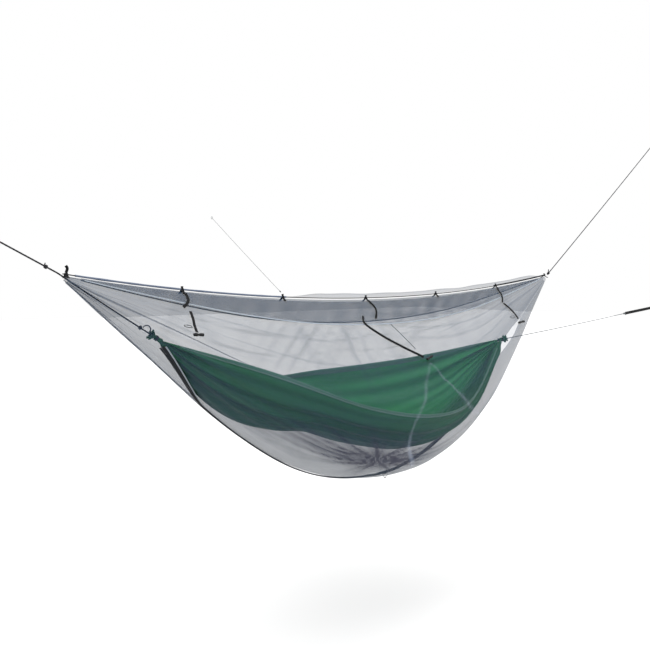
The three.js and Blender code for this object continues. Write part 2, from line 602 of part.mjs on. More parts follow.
// The sewn loop at the strap's far end, seen edge-on as a flat ring of webbing.
const LOOP_OUTER = 20;
const LOOP_INNER = 18;
const loopCentre = pointAlong(STRAP_END, strapDirection, LOOP_OUTER + 2 * CONTACT_GAP);
function loopShape() {
  const shape = circleShape(LOOP_OUTER);
  shape.holes.push(new THREE.Path().absarc(0, 0, LOOP_INNER, 0, 2 * Math.PI, true));
  return shape;
}
const strapLoop = new THREE.ExtrudeGeometry(loopShape(), { depth: STRAP_WIDTH, bevelEnabled: false,
  curveSegments: 12 });
strapLoop.translate(0, 0, -STRAP_WIDTH / 2);
const strapLoopMesh = piece('tree_strap_loop', strapLoop, WEBBING, loopCentre);
strapLoopMesh.rotation.y = -Math.atan2(strapDirection.z, strapDirection.x);

// ---------------------------------------------------------------- left rope, guy and back guyline

// A ring of cord at the end of a line, its plane in X-Z.
function endLoop(name, centre, ringRadius, cordRadius, material) {
  const ring = piece(name, new THREE.TorusGeometry(ringRadius, cordRadius, 8, 18), material, centre);
  ring.rotation.x = Math.PI / 2;
  return ring;
}

const EYE_RADIUS = 18;
const outward = unit(TIP_LEFT, LEFT_EYE);
const eyeEdge = pointAlong(LEFT_EYE, outward, -(EYE_RADIUS + ROPE_RADIUS + CONTACT_GAP + 0.4));
endLoop('left_suspension_eye', LEFT_EYE, EYE_RADIUS, ROPE_RADIUS, BLACK_ROPE);
piece('left_suspension_rope', cord(straight(TIP_LEFT, eyeEdge), ROPE_RADIUS, 8), BLACK_ROPE);
const SPLICE_LENGTH = 24;
const splicePlace = pointAlong(eyeEdge, outward, -SPLICE_LENGTH - 3);
pieceAlong('left_eye_splice', knotRing(ROPE_RADIUS, 3, SPLICE_LENGTH), BLACK_ROPE, splicePlace, outward);
const STOPPER_AT = 44; // from the tip
const stopperPlace = pointAlong(TIP_LEFT, outward, STOPPER_AT);
pieceAlong('left_stopper_knot', knotRing(ROPE_RADIUS, 5, 15), BLACK_ROPE, stopperPlace, outward);

const GUY_RING = 14;
const guyDirection = unit(TIP_RIGHT, GUY_END);
const guyStart = pointAlong(TIP_RIGHT, guyDirection, PIVOT_GAP);
piece('right_guy_cord', cord(straight(guyStart, GUY_END), GUY_RADIUS, 16), BLACK_ROPE);
pieceAlong('right_tip_knot', knotRing(GUY_RADIUS, 6, 18), BLACK_ROPE, pointAlong(TIP_RIGHT, guyDirection, 8),
  guyDirection);
endLoop('right_guy_end_loop', pointAlong(GUY_END, guyDirection, GUY_RING + GUY_RADIUS + CONTACT_GAP + 0.4),
  GUY_RING, GUY_RADIUS, BLACK_ROPE);

const BACK_TAB = 2; // third tab from the left
const BACK_RING = 7;
const backFrom = new THREE.Vector3(tabX(BACK_TAB), 0, ridgeZ(tabX(BACK_TAB)) + SHORT_EAR);
const backDirection = unit(backFrom, BACK_GUY_END);
const BACK_GUY_CLEARANCE = 16; // the net's swing carries the tab towards the guyline
const backStart = pointAlong(backFrom, backDirection, BACK_GUY_CLEARANCE);
piece('back_guyline', cord(straight(backStart, BACK_GUY_END), BACK_GUY_RADIUS, 16), GREY_ROPE);
const backKnotStart = pointAlong(backStart, backDirection, 3);
pieceAlong('back_guyline_knot', knotRing(BACK_GUY_RADIUS, 3, 9), GREY_ROPE, backKnotStart, backDirection);
const backLoop = endLoop('back_guyline_loop',
  pointAlong(BACK_GUY_END, backDirection, BACK_RING + BACK_GUY_RADIUS + CONTACT_GAP + 0.3), BACK_RING,
  BACK_GUY_RADIUS, GREY_ROPE);
backLoop.rotation.set(0, Math.PI / 2, 0);

export default assembly;
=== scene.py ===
import math

import bpy
import numpy as np
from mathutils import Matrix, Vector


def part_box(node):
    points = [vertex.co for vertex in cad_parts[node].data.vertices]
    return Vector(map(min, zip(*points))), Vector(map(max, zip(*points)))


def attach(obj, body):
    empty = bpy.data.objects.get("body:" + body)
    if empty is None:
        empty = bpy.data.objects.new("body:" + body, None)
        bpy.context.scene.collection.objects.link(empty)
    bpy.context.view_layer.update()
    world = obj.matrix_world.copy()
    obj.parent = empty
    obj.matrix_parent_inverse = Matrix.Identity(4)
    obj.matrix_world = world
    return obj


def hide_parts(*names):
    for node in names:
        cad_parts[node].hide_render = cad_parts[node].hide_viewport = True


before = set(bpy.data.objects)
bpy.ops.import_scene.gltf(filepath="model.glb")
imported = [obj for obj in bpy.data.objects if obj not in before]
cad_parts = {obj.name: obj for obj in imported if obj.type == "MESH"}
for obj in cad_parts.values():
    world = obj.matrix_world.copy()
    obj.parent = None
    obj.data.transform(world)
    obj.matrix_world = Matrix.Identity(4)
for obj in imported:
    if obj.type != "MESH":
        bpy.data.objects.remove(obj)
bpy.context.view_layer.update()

# ---------------------------------------------------------------- driving dimensions, as in the CAD

RIDGE_LENGTH = 3.3
RIDGE_SAG = 0.13
TAB_COUNT = 7
TAB_INSET = 0.034
NET_HALF_WIDTH = 0.45
SHOULDER_SHARE = 0.52
TAB_DROP = 0.009
SEAM_GAP = 0.0006
SLOT = (2.77, 3.01, 0.026)  # start, end and half width of the gap that the right rope leaves by
BED_NEAR_HALF_WIDTH = 0.322
BED_FAR_HALF_WIDTH = 0.316
GATHER_RADIUS = 0.011
NECK_LENGTH = 0.0423  # from the bed's hung end to the start of its rope

ROPE_RADIUS = 0.0035
RIDGE_CORD_RADIUS = 0.0025
RIGHT_ROPE_RADIUS = 0.0025
BIGHT_RADIUS = 0.0025
GUY_RADIUS = 0.003
BACK_GUY_RADIUS = 0.001
PULL_CORD_RADIUS = 0.0014
STRAP_WIDTH = 0.022
STRAP_THICKNESS = 0.002
TIE_WIDTH = 0.014
TIE_THICKNESS = 0.0014
TOGGLE_LENGTH = 0.054
TOGGLE_RADIUS = 0.007
TOGGLE_HEIGHT = 0.011  # of its axis above the net

FLOOR_Z = -2.1

X_AXIS = np.array([1.0, 0.0, 0.0])
Y_AXIS = np.array([0.0, 1.0, 0.0])

# Points relative to the net's left tip; TIP moves them into the part's frame.
TIP = np.array([0.262, 0.0, -0.146])
TIP_LEFT = np.array([0.0, 0.0, 0.0])
TIP_RIGHT = np.array([RIDGE_LENGTH, 0.0, 0.0])
BED_LEFT = np.array([0.444, 0.0, -0.302])
BED_RIGHT = np.array([2.795, 0.0, -0.425])
LEFT_EYE = np.array([-0.262, 0.0, 0.146])
STRAP_START = np.array([4.323, 0.0, -0.299])
STRAP_END = np.array([4.780, 0.0, -0.261])
GUY_END = np.array([4.700, 0.0, 1.067])
BACK_GUY_END = np.array([1.025, 0.584, 0.309])

NET_BOTTOM = [(0, -0.012), (0.4, -0.380), (0.8, -0.747), (1.2, -1.010), (1.6, -1.115), (2.0, -1.085),
              (2.4, -0.890), (2.7, -0.610), (3.0, -0.300), (RIDGE_LENGTH, -0.012)]
BED_BOTTOM = [(0.444, -0.318), (0.65, -0.575), (0.9, -0.738), (1.2, -0.806), (1.5, -0.912), (1.8, -0.980),
              (2.1, -0.948), (2.4, -0.820), (2.6, -0.640), (2.795, -0.441)]
BED_NEAR_EDGE = [(0.444, -0.300), (0.9, -0.454), (1.4, -0.656), (1.9, -0.755), (2.3, -0.725), (2.795, -0.423)]
BED_FAR_EDGE = [(0.444, -0.300), (1.0, -0.535), (1.6, -0.555), (2.2, -0.521), (2.795, -0.423)]


# ---------------------------------------------------------------- small maths

def unit(vector):
    return vector / np.linalg.norm(vector, axis=-1, keepdims=True)


def smoothstep(value, low, high):
    s = np.clip((value - low) / (high - low), 0, 1)
    return s * s * (3 - 2 * s)


def profile(knots, x):
    """The CAD's smooth curve through (x, z) knots."""
    xs = np.array([k[0] for k in knots], float)
    zs = np.array([k[1] for k in knots], float)
    before = np.maximum(np.arange(len(xs)) - 1, 0)
    after = np.minimum(np.arange(len(xs)) + 1, len(xs) - 1)
    slopes = (zs[after] - zs[before]) / (xs[after] - xs[before])
    i = np.clip(np.searchsorted(xs, x) - 1, 0, len(xs) - 2)
    run = xs[i + 1] - xs[i]
    s = (x - xs[i]) / run
    blend = s * s * (3 - 2 * s)
    leave = s * (1 - s) ** 2 * run * slopes[i]
    arrive = s * s * (s - 1) * run * slopes[i + 1]
    return zs[i] + (zs[i + 1] - zs[i]) * blend + leave + arrive


def ripple(s, seed, low, high, count=6):
    """Uneven waves along s, from -1 to 1, with low to high waves per unit."""
    random = np.random.default_rng(seed)
    total = np.zeros_like(s, dtype=float)
    weight = 0.0
    for _ in range(count):
        rate = random.uniform(low, high)
        size = random.uniform(0.5, 1.0)
        total += size * np.sin(2 * math.pi * (rate * s + random.uniform(0, 1)))
        weight += size
    return total / weight * 1.8


def along(points):
    steps = np.linalg.norm(np.diff(points, axis=0), axis=1)
    return np.concatenate([[0], np.cumsum(steps)])


def smooth_line(points, count):
    """A Catmull-Rom curve through a few points, as count evenly spaced points."""
    p = np.array(points, float)
    p = np.vstack([2 * p[0] - p[1], p, 2 * p[-1] - p[-2]])
    fine = []
    for i in range(1, len(p) - 2):
        for t in np.linspace(0, 1, 24, endpoint=False):
            fine.append(0.5 * (2 * p[i] + (p[i + 1] - p[i - 1]) * t
                               + (2 * p[i - 1] - 5 * p[i] + 4 * p[i + 1] - p[i + 2]) * t ** 2
                               + (3 * p[i] - p[i - 1] - 3 * p[i + 1] + p[i + 2]) * t ** 3))
    fine = np.array(fine + [p[-2]])
    reached = along(fine)
    places = np.linspace(0, reached[-1], count)
    return np.stack([np.interp(places, reached, fine[:, k]) for k in range(3)], axis=1)


def straight_line(start, end, count, sag=0.0):
    s = np.linspace(0, 1, count)[:, None]
    line = start + (end - start) * s
    line[:, 2] -= 4 * sag * (s * (1 - s))[:, 0]
    return line


def frames(points, hint):
    """Two directions across a line at each of its points, turned as little as possible."""
    tangents = unit(np.gradient(points, axis=0))
    side = unit(np.cross(tangents[0], hint))
    sides = []
    for tangent in tangents:
        side = unit(side - tangent * np.dot(side, tangent))
        sides.append(side)
    sides = np.array(sides)
    return sides, np.cross(sides, tangents)


# ---------------------------------------------------------------- materials

def srgb(code):
    """A linear colour from a six-figure sRGB code."""
    values = [int(code[i:i + 2], 16) / 255 for i in (0, 2, 4)]
    linear = [v / 12.92 if v <= 0.04045 else ((v + 0.055) / 1.055) ** 2.4 for v in values]
    return (*linear, 1.0)


class Shading:
    """Builds one node material."""

    def __init__(self, name, roughness, **sockets):
        self.material = bpy.data.materials.new(name)
        self.material.use_nodes = True
        self.tree = self.material.node_tree
        self.shader = self.tree.nodes["Principled BSDF"]
        self.shader.inputs["Roughness"].default_value = roughness
        for socket, value in sockets.items():
            self.shader.inputs[socket.replace("_", " ")].default_value = value

    def node(self, kind, inputs=None, **settings):
        made = self.tree.nodes.new(kind)
        for key, value in settings.items():
            setattr(made, key, value)
        for key, value in (inputs or {}).items():
            if isinstance(value, bpy.types.NodeSocket):
                self.tree.links.new(value, made.inputs[key])
            else:
                made.inputs[key].default_value = value
        return made

    def uv(self, scale=(1, 1, 1), rotation=0.0):
        source = self.node("ShaderNodeUVMap")
        mapping = self.node("ShaderNodeMapping", {"Vector": source.outputs[0], "Scale": scale,
                                                  "Rotation": (0, 0, rotation)})
        return mapping.outputs[0]

    def place(self):
        return self.node("ShaderNodeTexCoord").outputs["Object"]

    def bands(self, vector, pitch, direction="X", profile_kind="SIN"):
        """Stripes with a real pitch in metres."""
        wave = self.node("ShaderNodeTexWave", {"Vector": vector, "Scale": math.pi / (10 * pitch)},
                         wave_type="BANDS", bands_direction=direction, wave_profile=profile_kind)
        return wave.outputs["Fac"]

    def noise(self, vector, scale, detail=3.0, roughness=0.55):
        made = self.node("ShaderNodeTexNoise", {"Vector": vector, "Scale": scale, "Detail": detail,
                                                "Roughness": roughness})
        return made.outputs["Fac"]

    def maths(self, operation, a, b=0.0, c=0.0):
        made = self.node("ShaderNodeMath", {0: a, 1: b, 2: c}, operation=operation)
        return made.outputs[0]

    def ramp(self, value, low, high):
        made = self.node("ShaderNodeMapRange", {"Value": value, "To Min": low, "To Max": high})
        return made.outputs[0]

    def mix(self, factor, a, b):
        made = self.node("ShaderNodeMix", {0: factor, 6: a, 7: b}, data_type="RGBA")
        return made.outputs[2]

    def attribute(self, name):
        return self.node("ShaderNodeAttribute", attribute_name=name).outputs["Fac"]

    def colour(self, socket):
        self.tree.links.new(socket, self.shader.inputs["Base Color"])

    def rough(self, socket):
        self.tree.links.new(socket, self.shader.inputs["Roughness"])

    def bump(self, height, distance, strength=0.6):
        made = self.node("ShaderNodeBump", {"Height": height, "Distance": distance, "Strength": strength})
        self.tree.links.new(made.outputs[0], self.shader.inputs["Normal"])


def insect_mesh():
    """Fine dark knitted mesh. Each point's cover comes from how much cloth the folds put there; its shade
    attribute paints shade and its gleam attribute paints a highlight.
    """
    s = Shading("insect_mesh", 0.75)
    uv = s.uv()
    courses = s.bands(uv, 0.0016)
    wales = s.bands(uv, 0.0012, "Y")
    knit = s.maths("MAXIMUM", courses, wales)
    cloud = s.noise(s.place(), 3.5)
    shade = s.attribute("shade")
    # shade mixes in a darker, more violet copy of the mesh colour (painted shade); gleam mixes in light grey
    # (painted highlight)
    light = s.mix(cloud, srgb("10263c"), srgb("163046"))
    dark = s.mix(cloud, srgb("0e1126"), srgb("161934"))
    s.colour(s.mix(s.attribute("gleam"), s.mix(shade, light, dark), srgb("737a8c")))
    s.bump(knit, 0.0003, 0.4)
    cover = s.attribute("cover")
    thread = s.maths("MULTIPLY_ADD", knit, 0.16, 0.92)
    s.tree.links.new(s.maths("MULTIPLY", cover, thread), s.shader.inputs["Alpha"])
    return s.material


def ripstop(name, warp, weft):
    """Thin nylon with a ripstop grid and fine crinkles."""
    s = Shading(name, 0.55, Sheen_Weight=0.04, Sheen_Roughness=0.4)
    s.shader.inputs["Specular IOR Level"].default_value = 0.18
    uv = s.uv()
    grid = s.maths("MAXIMUM", s.maths("POWER", s.bands(uv, 0.006), 12.0),
                   s.maths("POWER", s.bands(uv, 0.006, "Y"), 12.0))
    weave = s.maths("MULTIPLY", s.bands(uv, 0.0008), s.bands(uv, 0.0008, "Y"))
    cloud = s.noise(s.place(), 4.0, 4.0)
    fine = s.noise(s.place(), 60.0, 2.0)
    base = s.mix(s.ramp(cloud, 0.1, 0.9), srgb(warp), srgb(weft))
    # The lit attribute mixes in a lighter green: painted light on the bed's far side.
    lit = s.mix(s.attribute("lit"), base, srgb("35a055"))
    s.colour(s.mix(s.maths("MULTIPLY", grid, 0.25), lit, srgb("2f7a58")))
    s.rough(s.ramp(fine, 0.46, 0.62))
    height = s.maths("ADD", s.maths("MULTIPLY", grid, 0.4), s.maths("MULTIPLY", weave, 0.2))
    height = s.maths("ADD", height, s.maths("MULTIPLY", fine, 1.5))
    s.bump(height, 0.0006, 0.5)
    return s.material


def braid(name, dark, light, wear):
    """Braided cord: UV runs once round and once per turn along."""
    s = Shading(name, 0.85, Sheen_Weight=0.03)
    s.shader.inputs["Specular IOR Level"].default_value = 0.12
    one = s.bands(s.uv(rotation=math.pi / 4), 0.09)
    other = s.bands(s.uv(rotation=-math.pi / 4), 0.09)
    strands = s.maths("MAXIMUM", one, other)
    cloud = s.noise(s.place(), 25.0, 4.0)
    colour = s.mix(strands, srgb(dark), srgb(light))
    s.colour(s.mix(s.maths("MULTIPLY", cloud, wear), colour, srgb("8a8c90")))
    s.rough(s.ramp(cloud, 0.7, 0.92))
    s.bump(strands, 0.0004, 0.5)
    return s.material


def webbing(name, dark, light, pitch=0.0016):
    """Flat woven tape with a herringbone."""
    s = Shading(name, 0.82, Sheen_Weight=0.02)
    s.shader.inputs["Specular IOR Level"].default_value = 0.12
    rows = s.bands(s.uv(rotation=math.pi / 5), pitch)
    back = s.bands(s.uv(rotation=-math.pi / 5), pitch)
    weave = s.maths("MULTIPLY", rows, back)
    cloud = s.noise(s.place(), 40.0, 3.0)
    s.colour(s.mix(s.ramp(weave, 0.0, 0.8), srgb(dark), srgb(light)))
    s.rough(s.ramp(cloud, 0.66, 0.9))
    s.bump(weave, 0.0005, 0.6)
    return s.material


def stitched_hem(name, cloth, thread, rows):
    """Folded cloth with rows of stitches at the given distances across it."""
    s = Shading(name, 0.6, Sheen_Weight=0.2)
    uv = s.uv()
    across = s.node("ShaderNodeSeparateXYZ", {"Vector": uv}).outputs["Y"]
    row = 0.0
    for distance in rows:
        gap = s.maths("ABSOLUTE", s.maths("SUBTRACT", across, distance))
        row = s.maths("MAXIMUM", s.maths("LESS_THAN", gap, 0.0007), row)
    dash = s.maths("GREATER_THAN", s.bands(uv, 0.0045), 0.4)
    stitch = s.maths("MULTIPLY", row, dash)
    cloud = s.noise(s.place(), 9.0, 4.0)
    fine = s.noise(s.place(), 160.0, 2.0)
    base = s.mix(cloud, srgb(cloth), srgb(thread))
    s.colour(s.mix(stitch, base, srgb("9fb3a8")))
    s.rough(s.ramp(fine, 0.5, 0.75))
    s.bump(s.maths("ADD", s.maths("MULTIPLY", stitch, 1.6), fine), 0.0005, 0.7)
    return s.material


def moulded_plastic():
    """Black moulded plastic, worn grey where it rubs."""
    s = Shading("moulded_plastic", 0.42)
    s.shader.inputs["Specular IOR Level"].default_value = 0.2
    grain = s.noise(s.place(), 900.0, 2.0)
    scuff = s.noise(s.place(), 120.0, 5.0, 0.7)
    worn = s.ramp(s.maths("POWER", scuff, 3.0), 0.0, 0.6)
    s.colour(s.mix(worn, srgb("08090a"), srgb("2c2d30")))
    s.rough(s.ramp(scuff, 0.34, 0.6))
    s.bump(grain, 0.0001, 0.3)
    return s.material


def studio_floor():
    """Pale floor with a barely visible mottle."""
    s = Shading("studio_floor", 0.9)
    cloud = s.noise(s.place(), 0.6, 3.0)
    s.colour(s.mix(cloud, (0.58, 0.58, 0.58, 1), (0.61, 0.61, 0.61, 1)))
    return s.material


PLASTIC = moulded_plastic()
SEAM_TAPE = stitched_hem("seam_tape", "5b6070", "6a6f80", [-0.0025, 0.0025])
FINISHES = {
    "insect_mesh": insect_mesh(),
    "bed_nylon": ripstop("bed_nylon", "0a4620", "0f5027"),
    "hem_tape": stitched_hem("bed_hem", "2a5a45", "34664f", [0.003, 0.028]),
    "black_cord": braid("black_braid", "08090b", "1b1c20", 0.03),
    "grey_cord": braid("grey_braid", "3c3e41", "5c5f62", 0.1),
    "black_webbing": webbing("black_webbing", "050607", "141518"),
    "zip_tape": webbing("zip_tape", "10131a", "232733", 0.0011),
    "black_plastic": PLASTIC,
}


# ---------------------------------------------------------------- mesh builders

def finish_piece(name, vertices, faces, uvs, body, slot, replaces=(), material=None):
    """Makes a smooth-shaded piece from points about the net's left tip; uvs are per vertex, in metres."""
    mesh = bpy.data.meshes.new(f"{name}_look")
    mesh.from_pydata((np.asarray(vertices, float) + TIP).tolist(), [], [list(map(int, f)) for f in faces])
    layer = mesh.uv_layers.new(name="UVMap")
    corner = np.empty(len(mesh.loops), np.int32)
    mesh.loops.foreach_get("vertex_index", corner)
    layer.data.foreach_set("uv", np.asarray(uvs, np.float32)[corner].ravel())
    mesh.polygons.foreach_set("use_smooth", [True] * len(mesh.polygons))
    mesh.materials.append(material or FINISHES[slot])
    mesh.update()
    piece = bpy.data.objects.new(f"{name}_look", mesh)
    bpy.context.scene.collection.objects.link(piece)
    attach(piece, body)
    if replaces:
        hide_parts(*replaces)
    return piece


def grid_faces(rows, columns, wrap=False):
    i, j = np.meshgrid(np.arange(rows - 1), np.arange(columns if wrap else columns - 1), indexing="ij")
    i, j = i.ravel(), j.ravel()
    k = (j + 1) % columns
    return np.stack([i * columns + j, i * columns + k, (i + 1) * columns + k, (i + 1) * columns + j], axis=1)


def sheet_uvs(points):
    """Distances along the first row of points and across each row, in metres."""
    steps_along = np.linalg.norm(np.diff(points, axis=0), axis=2).mean(axis=1)
    steps_across = np.linalg.norm(np.diff(points, axis=1), axis=2)
    u = np.broadcast_to(np.concatenate([[0], np.cumsum(steps_along)])[:, None], points.shape[:2])
    v = np.pad(np.cumsum(steps_across, axis=1), ((0, 0), (1, 0)))
    return np.stack([u.ravel(), v.ravel()], axis=1)


def sheet_piece(name, points, body, slot, replaces=(), material=None, wrap=False):
    """An open sheet through a (rows, columns, 3) grid of points."""
    rows, columns, _ = points.shape
    faces = grid_faces(rows, columns, wrap)
    return finish_piece(name, points.reshape(-1, 3), faces, sheet_uvs(points), body, slot, replaces, material)


def paint(piece, **fields):
    """Stores values per point for the piece's material to read."""
    for name, values in fields.items():
        layer = piece.data.attributes.new(name, "FLOAT", "POINT")
        layer.data.foreach_set("value", np.asarray(values, np.float32).ravel())


def sweep(name, rings, uvs, body, slot, replaces=(), material=None):
    """A closed solid through (rings, sides, 3) points, capped at both ends."""
    count, sides, _ = rings.shape
    faces = [list(f) for f in grid_faces(count, sides, wrap=True)]
    faces.append(list(range(sides)))
    faces.append(list(range(count * sides - 1, (count - 1) * sides - 1, -1)))
    return finish_piece(name, rings.reshape(-1, 3), faces, uvs.reshape(-1, 2), body, slot, replaces, material)


def ring_angles(sides):
    return np.linspace(0, 2 * math.pi, sides, endpoint=False)


def rope(name, points, radius, body, slot, replaces=(), sides=12, hint=(0.1, 1, 0.2)):
    """A round braided cord whose strands stand proud. Returns the piece and its centre line."""
    reached = along(points)
    count = max(6, int(reached[-1] / (0.9 * radius)))
    places = np.linspace(0, reached[-1], count)
    line = np.stack([np.interp(places, reached, points[:, k]) for k in range(3)], axis=1)
    side, other = frames(line, np.array(hint, float))
    angle = ring_angles(sides)
    turn = (places / (4.5 * radius) * 2 * math.pi)[:, None]
    strands = np.maximum(np.cos(4 * angle + turn), np.cos(4 * angle - turn))
    r = radius * (0.96 + 0.04 * strands)
    rings = (line[:, None] + (r * np.cos(angle))[..., None] * side[:, None]
             + (r * np.sin(angle))[..., None] * other[:, None])
    lengthwise = (places / (2 * math.pi * radius))[:, None]
    uvs = np.stack(np.broadcast_arrays(angle / (2 * math.pi), lengthwise), axis=2)
    return sweep(name, rings, uvs, body, slot, replaces), line + TIP


def strip(name, points, across, width, thickness, body, slot, replaces=(), material=None):
    """A woven strip with rounded edges along points, its width along across."""
    tangents = unit(np.gradient(points, axis=0))
    across = np.broadcast_to(across, points.shape)
    across = unit(across - tangents * np.sum(across * tangents, axis=1, keepdims=True))
    out = np.cross(tangents, across)
    half, deep = width / 2, thickness / 2
    section = np.array([(-half, 0), (-half + deep, -deep), (0, -deep), (half - deep, -deep), (half, 0),
                        (half - deep, deep), (0, deep), (-half + deep, deep)])
    rings = points[:, None] + section[:, :1] * across[:, None] + section[:, 1:] * out[:, None]
    uvs = np.stack(np.broadcast_arrays(along(points)[:, None], section[:, 0]), axis=2)
    return sweep(name, rings, uvs, body, slot, replaces, material)


def turned(name, outline, start, direction, body, slot, replaces=(), segments=32):
    """A solid of revolution: outline is (radius, distance) pairs along the axis from start."""
    direction = unit(direction)
    side, other = frames(np.array([start, start + direction]), np.array([0.3, 1.0, 0.2]))
    angle = ring_angles(segments)
    round_axis = np.cos(angle)[:, None] * side[0] + np.sin(angle)[:, None] * other[0]
    rings = np.array([start + distance * direction + r * round_axis for r, distance in outline])
    reached = along(np.array([(r, distance, 0.0) for r, distance in outline]))
    uvs = np.stack(np.broadcast_arrays(angle / (2 * math.pi), reached[:, None]), axis=2)
    return sweep(name, rings, uvs, body, slot, replaces)


def coil(name, start, direction, core, strand, length, body, slot, replaces=(), swell=0.0, tail=None):
    """Cord wound round a core of radius core: a whipping, or with some swell a knot, with a loose tail."""
    direction = unit(direction)
    side, other = frames(np.array([start, start + direction]), np.array([0.3, 1.0, 0.2]))
    turns = length / (2 * strand)
    s = np.linspace(0, 1, int(16 * turns) + 1)
    angle = 2 * math.pi * turns * s
    r = core + strand * 0.95 + swell * np.sin(math.pi * s)
    run = strand + (length - 2 * strand) * s
    points = (start + run[:, None] * direction + (r * np.cos(angle))[:, None] * side[0]
              + (r * np.sin(angle))[:, None] * other[0])
    if tail is not None:
        points = np.vstack([points, points[-1] + np.linspace(0.2, 1, 6)[:, None] * np.array(tail)])
    piece, _ = rope(name, points, strand, body, slot, replaces, sides=10)
    return piece


def crossing_strand(name, start, direction, core, strand, length, body, slot):
    """The strand that lies slantwise over the turns of a knot."""
    direction = unit(direction)
    side, other = frames(np.array([start, start + direction]), np.array([0.3, 1.0, 0.2]))
    s = np.linspace(0, 1, 14)
    angle = -0.9 * math.pi * (s - 0.2)
    r = core + 2.4 * strand * np.sin(math.pi * np.clip(s, 0.12, 0.88)) ** 0.5
    points = (start + (length * (0.1 + 0.8 * s))[:, None] * direction + (r * np.cos(angle))[:, None] * side[0]
              + (r * np.sin(angle))[:, None] * other[0])
    return rope(name, points, strand, body, slot, sides=10)[0]


def eye(name, centre, ring_radius, cord_radius, body, slot, replaces, start_angle, plane=(0, 1, 0)):
    """A ring of cord about an axis; its two ends meet at start_angle, inside the knot or splice."""
    angle = start_angle + np.linspace(0.02, 2 * math.pi - 0.02, 72)
    axis = np.array(plane, float)
    first = np.array([1.0, 0.0, 0.0]) if axis[0] == 0 else np.array([0.0, 1.0, 0.0])
    second = np.array([0.0, 0.0, 1.0])
    points = centre + ring_radius * (np.cos(angle)[:, None] * first + np.sin(angle)[:, None] * second)
    piece, _ = rope(name, points, cord_radius, body, slot, replaces, hint=axis)
    return piece


# ---------------------------------------------------------------- net

NET_LAYER = 0.0016
DEEPEST_FOLD = -0.012  # keeps the cloth clear of the bed as both swing
NET_START = 0.03
NET_END = RIDGE_LENGTH - 0.03
# Places on the near panel, as (length, share of the way down).
GATHER_CENTRE = (1.42, 0.72)
CREASES = [[(1.877, 0.335), (1.595, 0.56), (1.585, 0.65), (1.785, 0.83)],
           [(1.877, 0.335), (1.97, 0.50), (2.225, 0.66)]]
SWAGS = [(1.45, 3.25, 0.06, 0.05), (1.60, 3.22, 0.12, 0.07), (1.70, 3.20, 0.19, 0.07),
         (1.55, 2.95, 0.27, 0.06), (0.30, 1.70, 0.16, 0.06), (0.20, 1.75, 0.27, 0.07)]


def ridge_z(x):
    return -4 * RIDGE_SAG * (x / RIDGE_LENGTH) * (1 - x / RIDGE_LENGTH)


def net_width(x):
    return NET_HALF_WIDTH * np.sin(math.pi * (x / RIDGE_LENGTH) ** 0.85)


def net_section(x, t, side):
    """Points of one net panel at lengths x and places t from the ridge (0) to the bottom seam (1)."""
    x, t = np.broadcast_arrays(np.asarray(x, float), np.asarray(t, float))
    width = net_width(x)
    top = ridge_z(x) - TAB_DROP
    depth = profile(NET_BOTTOM, x) - top
    a = np.clip(2 * t, 0, 1)
    b = np.clip(2 * t - 1, 0, 1)
    shoulder = SHOULDER_SHARE
    tent_y = 2 * a * (1 - a) * 0.45 + a ** 2
    tent_share = (a * (1 - a) + a ** 2) * shoulder
    belly_y = (1 - b) ** 3 + 3 * (1 - b) ** 2 * b * 1.06 + 3 * (1 - b) * b ** 2 * 0.6
    knee = shoulder + 0.6 * (1 - shoulder)
    belly_share = (1 - b) ** 3 * shoulder + 3 * (1 - b) ** 2 * b * knee + 3 * (1 - b) * b ** 2 + b ** 3
    slot = SLOT[2] * np.sin(math.pi * np.clip((x - SLOT[0]) / (SLOT[1] - SLOT[0]), 0, 1))
    y = np.where(t <= 0.5, tent_y * width, slot + belly_y * (width - slot))
    z = top + np.where(t <= 0.5, tent_share, belly_share) * depth
    return np.stack([x, side * (y + SEAM_GAP), z], axis=-1)


def net_outward(x, t, side):
    step = 1e-3
    forward = net_section(x + step, t, side) - net_section(x - step, t, side)
    down = net_section(x, np.minimum(t + step, 1), side) - net_section(x, np.maximum(t - step, 0), side)
    return unit(side * np.cross(forward, down))


def on_net(x, t, height, side=-1):
    """A point at a height above the outside of a panel."""
    return net_section(x, t, side) + (NET_LAYER + height) * net_outward(x, t, side)


def tip_fan(x, t, seed):
    """Folds that fan out of both tips, from -1 to 1."""
    left = np.exp(-x / 0.9) * ripple(t + 0.05 * x, seed, 5, 14)
    right = np.exp(-(RIDGE_LENGTH - x) / 0.8) * ripple(t - 0.04 * x, seed + 1, 5, 14)
    return left + right


def hanging_folds(x, t, seed):
    """Soft folds that hang from the ridge tabs and fade out downwards, from -1 to 1."""
    fade = (1 - smoothstep(t, 0.1, 0.75)) * smoothstep(t, 0.0, 0.06)
    waves = 0.55 * ripple(x + 0.05 * t, seed, 2.0, 6.0)
    for i in range(TAB_COUNT):
        waves = waves + np.exp(-((x - tab_x(i) - 0.06 * t) / 0.035) ** 2)
    return fade * waves


def bunching(x, t, seed):
    """How tightly the cloth is drawn together along the bottom, 0 to 1, in streaks towards one centre."""
    from_centre = np.hypot((x - GATHER_CENTRE[0]) / 0.70, (t - GATHER_CENTRE[1]) / 0.12)
    angle = np.arctan2((t - GATHER_CENTRE[1]) * 5.0, x - GATHER_CENTRE[0])
    streaks = 0.5 + 0.35 * np.cos(15 * angle + 1.5 * np.sin(2 * angle)) + 0.15 * np.cos(41 * angle + seed)
    core = 1 - smoothstep(from_centre, 0.10, 0.95)
    rays = 0.5 * (1 - smoothstep(from_centre, 0.4, 1.7)) * np.clip(streaks, 0, 1) ** 2
    return np.clip(0.75 * core + rays, 0, 1)


